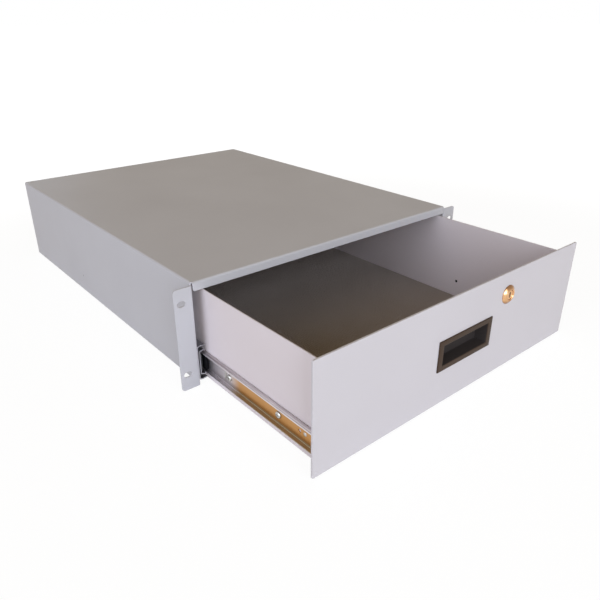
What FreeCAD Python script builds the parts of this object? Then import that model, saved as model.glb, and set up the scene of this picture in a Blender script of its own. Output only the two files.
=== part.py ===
import FreeCAD, Part
import math
import os
from collections import namedtuple
from types import SimpleNamespace

import Sketcher
from FreeCAD import Placement, Rotation, Vector

# A sliding drawer for a 19-inch rack, three units high.
#
# X runs to the right, Y to the back and Z up.  The origin is the middle of the four rack slots, on the
# rear face of the ears, which is the face that seats on the rack.  The drawer is drawn in its closed
# place and its Placement carries it out by drawer_open; the middle slide members are at home.
# Left is negative X.  Right-hand slide parts are mirror images of the left-hand ones.

SIZES = {
    # Rack fixing
    "rack_width": 482.6,
    "ear_width": 22.5,
    "slot_edge": 8.75,
    "slot_pitch_up": 88.9,
    "slot_length": 10.2,
    "slot_height": 6.8,
    # Case: a folded cover welded to two folded sides
    "case_depth": 564.0,
    "case_height": 130.5,
    "case_top": 65.8,
    "case_sheet": 1.5,
    "bend_radius": 1.0,
    "ear_drop": 3.3,
    "ear_corner": 4.0,
    "lip_height": 10.6,
    "lip_end_gap": 0.7,
    "lip_corner": 2.5,
    "rear_flange": 14.0,
    "foot_flange": 6.0,
    "foot_flange_start": 20.0,
    "back_panel_margin": 0.5,
    # Slides
    "slide_thickness": 12.7,
    "slide_height": 45.5,
    "slide_rise": 27.4,
    "slide_front": 0.5,
    "slide_rear_gap": 13.5,
    "slide_sheet": 1.2,
    "slide_bend": 1.0,
    "race_shoulder": 0.6,
    "ball_clearance": 0.08,
    "outer_ball": 5.5,
    "inner_ball": 3.5,
    "middle_gap": 1.2,
    "race_lean": 30.0,
    "outer_race_spread": 25.0,
    "outer_flange_run": 2.4,
    "outer_curl_radius": 0.7,
    "outer_curl_angle": 70.0,
    "hook_angle": 70.0,
    "slide_end_gap": 0.6,
    "stop_length": 5.0,
    "stop_thickness": 7.6,
    "stop_height": 32.0,
    "stop_chamfer": 1.5,
    "bumper_length": 8.0,
    "bumper_thickness": 1.9,
    "bumper_height": 20.0,
    "bumper_chamfer": 0.8,
    # Slide fixings, as distances from the front end of a slide
    "rivet_front": 35.0,
    "rivet_rear": 339.0,
    "rivet_diameter": 4.0,
    "inner_hole_front": 32.0,
    "tray_screw_front": 65.0,
    "tray_screw_middle": 153.0,
    "tray_screw_rear": 420.0,
    "screw_diameter": 4.0,
    "screw_head_diameter": 8.0,
    "screw_head_height": 2.2,
    "screw_head_slope": 1.6,
    "hole_clearance": 0.1,
    "access_hole": 10.0,
    # Ball cages
    "cage_sheet": 0.5,
    "cage_length": 230.0,
    "cage_start": 157.5,
    "cage_balls": 4.0,
    "cage_ball_pitch": 56.0,
    "cage_window_gap": 0.15,
    "outer_cage_gap": 0.35,
    "outer_cage_reach": 7.0,
    "inner_cage_gap": 0.4,
    "inner_cage_reach": 5.9,
    # Drawer
    "drawer_open": 200.7,
    "closed_gap": 1.0,
    "tray_sheet": 1.2,
    "tray_bend": 0.8,
    "tray_top_gap": 0.9,
    "tray_bottom_gap": 1.5,
    "tray_rear_gap": 18.5,
    "mat_thickness": 1.5,
    "mat_margin": 1.0,
    # Front panel
    "panel_side_lap": 3.0,
    "panel_top_drop": 0.8,
    "panel_bottom_rise": 1.5,
    "panel_sheet": 2.0,
    "panel_corner": 1.5,
    "stud_diameter": 4.0,
    "stud_length": 7.0,
    "stud_side_inset": 27.6,
    "stud_level_inset": 20.1,
    "stud_nut": 7.0,
    "stud_nut_height": 3.2,
    # Handle
    "handle_drop": 66.6,
    "handle_width": 94.0,
    "handle_height": 37.5,
    "handle_face": 1.8,
    "handle_bevel": 0.9,
    "handle_depth": 15.0,
    "handle_mouth_width": 79.0,
    "handle_mouth_height": 24.5,
    "handle_mouth_corner": 2.0,
    "handle_wall": 1.8,
    "handle_fit": 0.3,
    # Lock
    "lock_across": 74.0,
    "lock_drop": 29.0,
    "lock_bezel": 23.0,
    "lock_bezel_rim": 1.2,
    "lock_bezel_height": 3.6,
    "lock_bezel_nose": 16.0,
    "lock_bore": 12.0,
    "lock_plug_fit": 0.08,
    "lock_plug_recess": 0.8,
    "lock_barrel": 19.0,
    "lock_barrel_length": 7.2,
    "lock_nut": 24.0,
    "lock_nut_height": 3.0,
    "lock_key_width": 2.4,
    "lock_key_height": 7.0,
    "lock_key_depth": 5.0,
    "cam_gap": 0.3,
    "cam_sheet": 2.0,
    "cam_reach": 23.5,
    "cam_hub": 16.0,
    "cam_arm": 11.0,
    "cam_stem": 7.0,
    "cam_stem_fit": 0.05,
    "cam_nut": 10.0,
    "cam_nut_height": 2.5,
}

doc = FreeCAD.newDocument("RackDrawer")
sheet = doc.addObject("Spreadsheet::Sheet", "Sizes")
for row, (alias, amount) in enumerate(SIZES.items(), start=1):
    sheet.set(f"A{row}", alias)
    sheet.set(f"B{row}", str(amount))
    sheet.setAlias(f"B{row}", alias)
doc.recompute()
size = SimpleNamespace(**{alias: float(sheet.get(alias)) for alias in SIZES})

# Places that several parts share, written as expressions of the sheet.
CASE_BOTTOM = "(Sizes.case_top - Sizes.case_height)"
CASE_SIDE = "(Sizes.rack_width / 2 - Sizes.ear_width)"
CASE_INSIDE = "(Sizes.rack_width / 2 - Sizes.ear_width - Sizes.case_sheet)"
COVER_SEAM = "(Sizes.case_top - Sizes.case_sheet - Sizes.bend_radius)"
REAR_FLANGE_BACK = "(Sizes.case_depth - 2 * Sizes.case_sheet)"
REAR_BEND = "(Sizes.case_depth - 3 * Sizes.case_sheet - Sizes.bend_radius)"
EAR_TOP = "(Sizes.case_top - Sizes.ear_drop)"
SLIDE_LEVEL = "(Sizes.case_top - Sizes.case_height + Sizes.slide_rise)"
SLIDE_LENGTH = "(Sizes.case_depth - Sizes.slide_front - Sizes.slide_rear_gap)"
MEMBER_LENGTH = f"({SLIDE_LENGTH} - Sizes.stop_length - Sizes.slide_end_gap)"
TRAY_SIDE = "(Sizes.rack_width / 2 - Sizes.ear_width - Sizes.case_sheet - Sizes.slide_thickness)"
TRAY_INSIDE = f"({TRAY_SIDE} - Sizes.tray_sheet)"
TRAY_TOP = "(Sizes.case_top - Sizes.lip_height - Sizes.tray_top_gap)"
TRAY_BOTTOM = "(Sizes.case_top - Sizes.case_height + Sizes.tray_bottom_gap)"
TRAY_BACK = "(Sizes.case_depth - Sizes.tray_rear_gap)"
PANEL_BACK = "(-Sizes.case_sheet - Sizes.closed_gap)"
PANEL_FRONT = "(-Sizes.case_sheet - Sizes.closed_gap - Sizes.panel_sheet)"
PANEL_TOP = "(Sizes.case_top - Sizes.panel_top_drop)"
PANEL_BOTTOM = "(Sizes.case_top - Sizes.case_height + Sizes.panel_bottom_rise)"
HANDLE_LEVEL = "(Sizes.case_top - Sizes.handle_drop)"
LOCK_LEVEL = "(Sizes.case_top - Sizes.lock_drop)"
CASE_RIVETS = [f"(Sizes.slide_front + Sizes.rivet_{name})" for name in ("front", "rear")]
TRAY_SCREWS = [f"(Sizes.slide_front + Sizes.tray_screw_{name})" for name in ("front", "middle", "rear")]
OPEN_TRAVEL = "-Sizes.drawer_open"
HALF_OPEN_TRAVEL = "-Sizes.drawer_open / 2"
AXIS_X = Vector(1, 0, 0)
AXIS_Y = Vector(0, 1, 0)
AXIS_Z = Vector(0, 0, 1)

# Sides of the small pieces that are drawn in flat facets.
FASTENER_SIDES = 12
LOCK_SIDES = 32
BALL_SIDES = 6


def at(expression):
    """The number that an expression of the sheet comes to."""
    return float(sheet.evalExpression(expression))


# ---------------------------------------------------------------- sketches and features

# Each principal plane, by its role in a body's origin, and whether its normal points along its axis.
PLANES = {"XY": ("XY_Plane", 1), "XZ": ("XZ_Plane", -1), "YZ": ("YZ_Plane", 1)}

Run = namedtuple("Run", "length")
Bend = namedtuple("Bend", "radius angle")


def new_body(label):
    """An empty body whose label is also the name of its file."""
    body = doc.addObject("PartDesign::Body", label)
    body.Label = label
    return body


def new_sketch(body, name, plane, level):
    """A sketch parallel to one of the body's own planes, at a level along that plane's axis."""
    role, sense = PLANES[plane]
    sketch = body.newObject("Sketcher::SketchObject", name)
    origin = next(part for part in body.Origin.OriginFeatures if part.Role == role)
    sketch.AttachmentSupport = [(origin, "")]
    sketch.MapMode = "FlatFace"
    sketch.setExpression("AttachmentOffset.Base.z", f"{sense} * ({level})")
    return sketch


def pin(sketch, kind, geometry, point, expression):
    """Holds one coordinate of a point at an expression of the sheet."""
    number = sketch.addConstraint(Sketcher.Constraint(kind, -1, 1, geometry, point, at(expression)))
    sketch.setExpression(f"Constraints[{number}]", expression)


def rectangle(left, right, low, high):
    """Draws a rectangle with each side at an expression of the sheet."""

    def draw(sketch):
        corners = [
            Vector(at(left), at(low)),
            Vector(at(right), at(low)),
            Vector(at(right), at(high)),
            Vector(at(left), at(high)),
        ]
        sides = [
            sketch.addGeometry(Part.LineSegment(corners[n], corners[(n + 1) % 4]), False)
            for n in range(4)
        ]
        for n in range(4):
            sketch.addConstraint(Sketcher.Constraint("Coincident", sides[n], 2, sides[(n + 1) % 4], 1))
            sketch.addConstraint(Sketcher.Constraint(("Horizontal", "Vertical")[n % 2], sides[n]))
        pin(sketch, "DistanceX", sides[0], 1, left)
        pin(sketch, "DistanceY", sides[0], 1, low)
        pin(sketch, "DistanceX", sides[2], 1, right)
        pin(sketch, "DistanceY", sides[2], 1, high)

    return draw


def circle(across, up, diameter):
    """Draws a circle at a place and of a diameter that are expressions of the sheet."""

    def draw(sketch):
        centre = Vector(at(across), at(up))
        ring = sketch.addGeometry(Part.Circle(centre, Vector(0, 0, 1), at(diameter) / 2), False)
        pin(sketch, "DistanceX", ring, 3, across)
        pin(sketch, "DistanceY", ring, 3, up)
        number = sketch.addConstraint(Sketcher.Constraint("Diameter", ring, at(diameter)))
        sketch.setExpression(f"Constraints[{number}]", diameter)

    return draw


def slot(across, up, length, height):
    """Draws a level slot with round ends, by its middle, its whole length and its height."""

    def draw(sketch):
        radius = at(height) / 2
        reach = at(length) / 2 - radius
        middle = Vector(at(across), at(up))
        ends = []
        for sign, first, last in ((1, -math.pi / 2, math.pi / 2), (-1, math.pi / 2, 3 * math.pi / 2)):
            round_end = Part.Circle(middle + Vector(sign * reach, 0), Vector(0, 0, 1), radius)
            ends.append(sketch.addGeometry(Part.ArcOfCircle(round_end, first, last), False))
        right, left = ends
        top = Part.LineSegment(middle + Vector(reach, radius), middle + Vector(-reach, radius))
        bottom = Part.LineSegment(middle + Vector(-reach, -radius), middle + Vector(reach, -radius))
        top = sketch.addGeometry(top, False)
        bottom = sketch.addGeometry(bottom, False)
        for first, second in (((right, 2), (top, 1)), ((top, 2), (left, 1)),
                              ((left, 2), (bottom, 1)), ((bottom, 2), (right, 1))):
            sketch.addConstraint(Sketcher.Constraint("Tangent", *first, *second))
        pin(sketch, "DistanceX", right, 3, f"{across} + ({length} - {height}) / 2")
        pin(sketch, "DistanceX", left, 3, f"{across} - ({length} - {height}) / 2")
        pin(sketch, "DistanceY", right, 3, up)
        pin(sketch, "DistanceY", left, 3, up)
        number = sketch.addConstraint(Sketcher.Constraint("Radius", right, radius))
        sketch.setExpression(f"Constraints[{number}]", f"{height} / 2")

    return draw


def strip(start, heading, steps, thickness):
    """Draws the section of a folded sheet: its middle line goes from start through runs and bends."""

    def draw(sketch):
        place = Vector(*start)
        course = heading
        near, far = [], []
        ends = [place + side * thickness / 2 for side in (left_of(course), -left_of(course))]
        for step in steps:
            if isinstance(step, Run):
                onward = place + ahead(course) * step.length
                for edges, side in ((near, 1), (far, -1)):
                    shift = left_of(course) * side * thickness / 2
                    edges.append((Part.LineSegment(place + shift, onward + shift), 1, 2))
                place = onward
                continue
            turn = math.copysign(1, step.angle)
            centre = place + left_of(course) * turn * step.radius
            first = math.radians(course - turn * 90)
            last = first + math.radians(step.angle)
            for edges, side in ((near, 1), (far, -1)):
                ring = Part.Circle(centre, Vector(0, 0, 1), step.radius - side * turn * thickness / 2)
                arc = Part.ArcOfCircle(ring, min(first, last), max(first, last))
                edges.append((arc, 1, 2) if turn > 0 else (arc, 2, 1))
            course += step.angle
            place = centre + Vector(math.cos(last), math.sin(last)) * step.radius
        tips = [place + side * thickness / 2 for side in (left_of(course), -left_of(course))]
        far = [(edge, after, before) for edge, before, after in reversed(far)]
        loop = near + [(Part.LineSegment(tips[0], tips[1]), 1, 2)]
        loop += far + [(Part.LineSegment(ends[1], ends[0]), 1, 2)]
        added = [(sketch.addGeometry(edge, False), before, after) for edge, before, after in loop]
        for (edge, _, after), (following, before, _) in zip(added, added[1:] + added[:1]):
            sketch.addConstraint(Sketcher.Constraint("Coincident", edge, after, following, before))

    return draw


def ahead(course):
    """The unit vector of a course in degrees."""
    return Vector(math.cos(math.radians(course)), math.sin(math.radians(course)))


def left_of(course):
    """The unit vector to the left of a course in degrees."""
    return ahead(course + 90)


def add(body, name, plane, level, length, *drawings):
    """Pads drawings from a level, along the plane's axis, by a length."""
    sketch = new_sketch(body, f"{name}Sketch", plane, level)
    for draw in drawings:
        draw(sketch)
    feature = body.newObject("PartDesign::Pad", name)
    feature.Profile = sketch
    feature.setExpression("Length", length)
    feature.Reversed = PLANES[plane][1] < 0
    doc.recompute()
    return feature


def cut(body, name, plane, level, length, *drawings):
    """Pockets drawings from a level, along the plane's axis, by a length."""
    sketch = new_sketch(body, f"{name}Sketch", plane, level)
    for draw in drawings:
        draw(sketch)
    feature = body.newObject("PartDesign::Pocket", name)
    feature.Profile = sketch
    feature.setExpression("Length", length)
    feature.Reversed = PLANES[plane][1] > 0
    doc.recompute()
    return feature


def mirror_features(body, name, features):
    """Repeats features of a body on the other side of its middle plane."""
    feature = body.newObject("PartDesign::Mirrored", name)
    feature.Originals = features
    middle = next(part for part in body.Origin.OriginFeatures if part.Role == "YZ_Plane")
    feature.MirrorPlane = (middle, [""])
    body.Tip = feature
    doc.recompute()
    return feature


def dress_edges(body, name, kind, measure, amount, wanted):
    """Fillets or chamfers the edges of a body's shape that a test picks."""
    base = body.Tip
    names = [f"Edge{n}" for n, edge in enumerate(base.Shape.Edges, start=1) if wanted(edge)]
    feature = body.newObject(kind, name)
    feature.Base = (base, names)
    feature.setExpression(measure, amount)
    doc.recompute()


def round_edges(body, name, radius, wanted):
    """Fillets the edges that a test picks."""
    dress_edges(body, name, "PartDesign::Fillet", "Radius", radius, wanted)


def bevel_edges(body, name, amount, wanted):
    """Chamfers the edges that a test picks."""
    dress_edges(body, name, "PartDesign::Chamfer", "Size", amount, wanted)


def runs_along(edge, axis):
    """Whether an edge is straight and parallel to an axis."""
    if len(edge.Vertexes) != 2:
        return False
    chord = edge.Vertexes[1].Point - edge.Vertexes[0].Point
    return abs(edge.Length - chord.Length) < 0.001 and abs(chord.dot(axis)) > 0.999 * chord.Length


def mirror_part(body, label):
    """A right-hand part that is the mirror image of a left-hand one."""
    twin = doc.addObject("Part::Mirroring", label)
    twin.Source = body
    twin.Normal = Vector(1, 0, 0)
    twin.Label = label
    return twin


def settled(solid):
    """A copy of a solid with its placement worked into its geometry."""
    bare = solid.copy()
    bare.Placement = Placement()
    return bare.transformed(solid.Placement.Matrix, copy=True)


def group(label, solids, travel="0"):
    """Separate solids under one label, all carried forward by the same travel."""
    feature = doc.addObject("Part::Feature", label)
    feature.Label = label
    solids = [settled(solid) for solid in solids]
    feature.Shape = solids[0] if len(solids) == 1 else Part.makeCompound(solids)
    feature.setExpression("Placement.Base.y", travel)
    return feature


def turned(points, place, direction):
    """A solid turned about an axis: points are (along the axis, radius) pairs."""
    corners = [Vector(radius, 0, along) for along, radius in points]
    profile = Part.Face(Part.makePolygon(corners + corners[:1]))
    solid = profile.revolve(Vector(0, 0, 0), AXIS_Z, 360)
    solid.Placement = Placement(place, Rotation(AXIS_Z, direction))
    return solid


def faceted(points, place, direction, sides=FASTENER_SIDES):
    """A small solid of revolution in flat facets, which keeps repeated pieces light.

    Points are (along the axis, radius) pairs.  The first and the last lie on the axis or are the same.
    """
    turns = [ahead(360 * n / sides) for n in range(sides)]
    rings = [[turn * radius + AXIS_Z * along for turn in turns] for along, radius in points]
    faces = []
    for lower, upper in zip(rings, rings[1:]):
        for n in range(sides):
            corners = [lower[n - 1], lower[n], upper[n], upper[n - 1]]
            corners = [corner for k, corner in enumerate(corners) if not corner.isEqual(corners[k - 1], 1e-6)]
            faces.append(Part.Face(Part.makePolygon(corners + corners[:1])))
    solid = Part.makeSolid(Part.makeShell(faces)).removeSplitter()
    if solid.Volume < 0:
        solid.reverse()
    solid.Placement = Placement(place, Rotation(AXIS_Z, direction))
    return solid


# ---------------------------------------------------------------- case

def make_case_cover():
    """Top of the case, with its front and rear lips and the bends that meet the sides."""
    body = new_body("case_cover")
    fold = size.bend_radius + size.case_sheet / 2
    side = at(CASE_SIDE) - size.case_sheet / 2
    top = size.case_top - size.case_sheet / 2
    roof = strip((-side, top - fold), 90, [Bend(fold, -90), Run(2 * (side - fold)), Bend(fold, -90)],
                 size.case_sheet)
    add(body, "Roof", "XZ", "Sizes.bend_radius", f"{REAR_BEND} - Sizes.bend_radius", roof)
    front = strip((size.bend_radius, top), 180, [
        Bend(fold, 90), Run(size.lip_height - size.case_sheet / 2 - fold),
    ], size.case_sheet)
    half_front = f"({CASE_INSIDE} - Sizes.lip_end_gap)"
    add(body, "FrontLip", "YZ", f"-{half_front}", f"2 * {half_front}", front)
    rear = strip((at(REAR_BEND), top), 0, [Bend(fold, -90), Run(size.rear_flange - fold)], size.case_sheet)
    half_rear = f"({CASE_INSIDE} - Sizes.rear_flange - 2 * Sizes.bend_radius)"
    add(body, "RearLip", "YZ", f"-{half_rear}", f"2 * {half_rear}", rear)
    round_edges(body, "LipCorners", "Sizes.lip_corner", is_lip_corner)
    return body


def make_case_side():
    """Left side of the case, with its ear, foot and rear flange; its top edge is welded to the cover."""
    body = new_body("case_side_left")
    fold = size.bend_radius + size.case_sheet / 2
    side = at(CASE_SIDE) - size.case_sheet / 2
    low = at(CASE_BOTTOM) + size.case_sheet / 2
    seam = at(COVER_SEAM)
    plate = strip((-side, at(CASE_BOTTOM)), 90, [Run(seam - at(CASE_BOTTOM))], size.case_sheet)
    add(body, "FrontWall", "XZ", "Sizes.bend_radius", "Sizes.foot_flange_start - Sizes.bend_radius", plate)
    foot = size.foot_flange - size.case_sheet / 2 - fold
    footed = strip((-side + fold + foot, low), 180, [Run(foot), Bend(fold, -90), Run(seam - low - fold)],
                   size.case_sheet)
    add(body, "Wall", "XZ", "Sizes.foot_flange_start", f"{REAR_BEND} - Sizes.foot_flange_start", footed)
    ear = strip((-side, size.bend_radius), 270, [
        Bend(fold, -90), Run(size.rack_width / 2 - side - fold),
    ], size.case_sheet)
    add(body, "Ear", "XY", CASE_BOTTOM, f"{EAR_TOP} - {CASE_BOTTOM}", ear)
    flange = strip((-side, at(REAR_BEND)), 90, [Bend(fold, -90), Run(size.rear_flange - fold)], size.case_sheet)
    add(body, "RearFlange", "XY", f"{CASE_BOTTOM} + Sizes.case_sheet + Sizes.bend_radius",
        "Sizes.case_height - 2 * Sizes.case_sheet - Sizes.bend_radius - Sizes.rear_flange", flange)
    slots = [slot("-(Sizes.rack_width / 2 - Sizes.slot_edge)", f"{sign} * Sizes.slot_pitch_up / 2",
                  "Sizes.slot_length", "Sizes.slot_height") for sign in (1, -1)]
    cut(body, "RackSlots", "XZ", "-2 * Sizes.case_sheet", "3 * Sizes.case_sheet", *slots)
    rivet_hole = "Sizes.rivet_diameter + Sizes.hole_clearance"
    cut(body, "RivetHoles", "YZ", f"-{CASE_SIDE} - Sizes.case_sheet", "3 * Sizes.case_sheet",
        *[circle(place, SLIDE_LEVEL, rivet_hole) for place in CASE_RIVETS])
    round_edges(body, "EarCorners", "Sizes.ear_corner", is_ear_corner)
    return body


def is_ear_corner(edge):
    """The short level edges at the outer corners of the ears."""
    middle = edge.CenterOfMass
    return runs_along(edge, AXIS_Y) and abs(abs(middle.x) - size.rack_width / 2) < 0.01


def is_lip_corner(edge):
    """The short level edges at the lower corners of the front lip."""
    middle = edge.CenterOfMass
    low = abs(middle.z - (size.case_top - size.lip_height)) < 0.01
    return runs_along(edge, AXIS_Y) and low and middle.y < 0


def make_back_panel():
    """Flat plate welded to the rear lip of the cover and the rear flanges of the sides."""
    body = new_body("back_panel")
    half = f"({CASE_INSIDE} - Sizes.back_panel_margin)"
    low = f"({CASE_BOTTOM} + Sizes.case_sheet + Sizes.back_panel_margin)"
    high = "(Sizes.case_top - Sizes.back_panel_margin)"
    add(body, "Plate", "XZ", REAR_FLANGE_BACK, "Sizes.case_sheet", rectangle(f"-{half}", half, low, high))
    return body


# ---------------------------------------------------------------- slides

# Distances across a slide are measured from the case wall towards the tray, heights from its middle.
RACE = size.slide_sheet / 2 + size.ball_clearance
OUTER_RACE = size.outer_ball / 2 + RACE
INNER_RACE = size.inner_ball / 2 + RACE
WALL = -at(CASE_INSIDE)
MIDDLE_WEB = size.slide_sheet * 1.5 + size.middle_gap
MIDDLE_FOLD = size.slide_bend + size.slide_sheet / 2
OUTER_BALL_ACROSS = MIDDLE_WEB + MIDDLE_FOLD
OUTER_BALL_UP = size.slide_height / 2 - size.slide_sheet / 2 - OUTER_RACE
RACE_GAP = OUTER_RACE + INNER_RACE
INNER_BALL_ACROSS = OUTER_BALL_ACROSS + RACE_GAP * math.sin(math.radians(size.race_lean))
INNER_BALL_UP = OUTER_BALL_UP - RACE_GAP * math.cos(math.radians(size.race_lean))
SHOULDER = size.race_shoulder + size.slide_sheet / 2


def walk(start, course, steps):
    """Where a middle line ends, and its course there."""
    place = Vector(*start)
    for step in steps:
        if isinstance(step, Run):
            place += ahead(course) * step.length
            continue
        turn = math.copysign(1, step.angle)
        centre = place + left_of(course) * turn * step.radius
        course += step.angle
        place = centre - left_of(course) * turn * step.radius
    return place, course


def slide_section(web_across, half_steps, half_web):
    """Section of a slide member, drawn from its lower tip, from the steps above its half web."""
    tip, course = walk((web_across, half_web), 90, half_steps)
    steps = list(reversed(half_steps)) + [Run(2 * half_web)] + half_steps
    return strip((WALL + tip.x, at(SLIDE_LEVEL) - tip.y), 180 - course, steps, size.slide_sheet)


def outer_section():
    """Outer member: a channel open to the tray, with a rolled race over the outer balls."""
    spread = size.outer_race_spread
    lean = math.radians(spread)
    web = size.slide_sheet / 2
    fold = size.slide_bend + size.slide_sheet / 2
    flange_up = OUTER_BALL_UP + OUTER_RACE * math.cos(lean) - SHOULDER * (1 - math.cos(lean))
    race_start = OUTER_BALL_ACROSS - (OUTER_RACE + SHOULDER) * math.sin(lean)
    curl = size.outer_curl_radius + size.slide_sheet / 2
    steps = [
        Bend(fold, -90), Run(race_start - web - fold), Bend(SHOULDER, spread), Bend(OUTER_RACE, -2 * spread),
        Bend(SHOULDER, spread), Run(size.outer_flange_run), Bend(curl, -size.outer_curl_angle),
    ]
    return slide_section(web, steps, flange_up - fold)


def middle_section():
    """Middle member: its corner carries the outer balls and its hook covers the inner ones."""
    lean = size.race_lean
    steps = [Bend(MIDDLE_FOLD, -90), Bend(OUTER_RACE, lean), Bend(INNER_RACE, -lean - size.hook_angle)]
    return slide_section(MIDDLE_WEB, steps, OUTER_BALL_UP - OUTER_RACE - MIDDLE_FOLD)


def inner_section():
    """Inner member: a channel open to the case, with a grooved flange under the inner balls."""
    lean = size.race_lean
    angle = math.radians(lean)
    web = size.slide_thickness - size.slide_sheet / 2
    fold = SHOULDER
    flange_up = INNER_BALL_UP - INNER_RACE * math.cos(angle) + SHOULDER * (1 - math.cos(angle))
    groove_start = INNER_BALL_ACROSS + (INNER_RACE + SHOULDER) * math.sin(angle)
    steps = [
        Bend(fold, 90), Run(web - fold - groove_start), Bend(SHOULDER, lean), Bend(INNER_RACE, -2 * lean),
    ]
    return slide_section(web, steps, flange_up - fold)


def make_slide_outer():
    """Outer member, riveted to the side of the case."""
    body = new_body("slide_outer_left")
    add(body, "Channel", "XZ", "Sizes.slide_front", SLIDE_LENGTH, outer_section())
    hole = "Sizes.rivet_diameter + Sizes.hole_clearance"
    cut(body, "RivetHoles", "YZ", f"-{CASE_INSIDE} - Sizes.slide_sheet", "3 * Sizes.slide_sheet",
        *[circle(place, SLIDE_LEVEL, hole) for place in CASE_RIVETS])
    return body


def make_slide_middle():
    """Middle member, free to run between the two rows of balls."""
    body = new_body("slide_middle_left")
    add(body, "Channel", "XZ", "Sizes.slide_front", MEMBER_LENGTH, middle_section())
    cut(body, "AccessHole", "YZ", f"-{CASE_INSIDE} + Sizes.slide_sheet", "3 * Sizes.slide_sheet",
        circle(TRAY_SCREWS[0], SLIDE_LEVEL, "Sizes.access_hole"))
    return body


def make_slide_inner():
    """Inner member, screwed to the side of the tray."""
    body = new_body("slide_inner_left")
    add(body, "Channel", "XZ", "Sizes.slide_front", MEMBER_LENGTH, inner_section())
    hole = "Sizes.screw_diameter + 2 * Sizes.hole_clearance"
    places = ["(Sizes.slide_front + Sizes.inner_hole_front)", *TRAY_SCREWS]
    cut(body, "ScrewHoles", "YZ", f"-{TRAY_SIDE} - 2 * Sizes.slide_sheet", "3 * Sizes.slide_sheet",
        *[circle(place, SLIDE_LEVEL, hole) for place in places])
    body.setExpression("Placement.Base.y", OPEN_TRAVEL)
    return body


def make_block(label, start, length, near, thickness, height, chamfer):
    """A moulded block on the web of a slide member, chamfered along its length."""
    body = new_body(label)
    add(body, "Block", "XZ", start, length,
        rectangle(near, f"{near} + {thickness}", f"{SLIDE_LEVEL} - {height} / 2", f"{SLIDE_LEVEL} + {height} / 2"))
    inner = at(near) + at(thickness)
    bevel_edges(body, "LongEdges", chamfer,
                lambda edge: runs_along(edge, AXIS_Y) and abs(edge.CenterOfMass.x - inner) < 0.01)
    return body


def make_slide_stop():
    """Moulded stop at the rear end of the outer member."""
    return make_block("slide_stop_left", f"Sizes.slide_front + {SLIDE_LENGTH} - Sizes.stop_length",
                      "Sizes.stop_length", f"-{CASE_INSIDE} + Sizes.slide_sheet", "Sizes.stop_thickness",
                      "Sizes.stop_height", "Sizes.stop_chamfer")


def make_slide_bumper():
    """Moulded buffer in the front end of the middle member."""
    near = f"-{CASE_INSIDE} + 2 * Sizes.slide_sheet + Sizes.middle_gap"
    return make_block("slide_bumper_left", "Sizes.slide_front", "Sizes.bumper_length", near,
                      "Sizes.bumper_thickness", "Sizes.bumper_height", "Sizes.bumper_chamfer")


def make_rivets():
    """Flush rivets that hold the outer member to the side of the case."""
    length = size.case_sheet + size.slide_sheet
    radius = size.rivet_diameter / 2
    profile = [(0, 0), (0, radius), (length, radius), (length, 0)]
    rivets = [faceted(profile, Vector(-at(CASE_SIDE), at(place), at(SLIDE_LEVEL)), AXIS_X)
              for place in CASE_RIVETS]
    return group("slide_rivets_left", rivets)


def make_tray_screws():
    """Pan-head screws through the inner member into the side of the tray."""
    length = size.slide_sheet + size.tray_sheet
    shank = size.screw_diameter / 2
    head = size.screw_head_diameter / 2
    height = size.screw_head_height
    profile = [(-length, 0), (-length, shank), (0, shank), (0, head), (height - size.screw_head_slope / 2, head),
               (height, head - size.screw_head_slope), (height, 0)]
    face = -at(TRAY_SIDE) - size.slide_sheet
    screws = [faceted(profile, Vector(face, at(place), at(SLIDE_LEVEL)), -AXIS_X) for place in TRAY_SCREWS]
    return group("tray_screws_left", screws, OPEN_TRAVEL)


def ball_stations():
    """Places of a cage's balls along the slide, as expressions."""
    count = int(size.cage_balls)
    middle = "Sizes.slide_front + Sizes.cage_start + Sizes.cage_length / 2"
    return [f"({middle} + {n - (count - 1) / 2} * Sizes.cage_ball_pitch)" for n in range(count)]


def make_cage(label, web, reach, ball_across, ball_up, ball, travel):
    """A channel-shaped cage whose two flanges hold the balls at their mid-height in windows."""
    body = new_body(label)
    level = at(SLIDE_LEVEL)
    half_sheet = size.cage_sheet / 2
    start = "(Sizes.slide_front + Sizes.cage_start)"
    tip = WALL + web + reach
    outside = ball_up + half_sheet
    inside = ball_up - half_sheet
    add(body, "Channel", "XZ", start, "Sizes.cage_length",
        rectangle(str(WALL + web - half_sheet), str(tip), str(level - outside), str(level + outside)))
    cut(body, "Hollow", "XZ", start, "Sizes.cage_length",
        rectangle(str(WALL + web + half_sheet), str(tip), str(level - inside), str(level + inside)))
    half_window = f"(Sizes.{ball} / 2 + Sizes.cage_window_gap)"
    centre = WALL + ball_across
    windows = [rectangle(f"{centre} - {half_window}", f"{centre} + {half_window}",
                         f"{station} - {half_window}", f"{station} + {half_window}")
               for station in ball_stations()]
    cut(body, "Windows", "XY", str(level - outside), str(2 * outside), *windows)
    body.setExpression("Placement.Base.y", travel)
    return body


def make_balls(label, ball_across, ball_up, ball, travel):
    """The balls of one cage: a row above and a row below."""
    radius = at(f"Sizes.{ball}") / 2
    tilts = [math.radians(angle) for angle in range(0, 181, 45)]
    profile = [(-radius * math.cos(tilt), radius * math.sin(tilt)) for tilt in tilts]
    level = at(SLIDE_LEVEL)
    balls = [faceted(profile, Vector(WALL + ball_across, at(station), level + side * ball_up), AXIS_Z, BALL_SIDES)
             for side in (-1, 1) for station in ball_stations()]
    return group(label, balls, travel)


# ---------------------------------------------------------------- drawer

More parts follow.
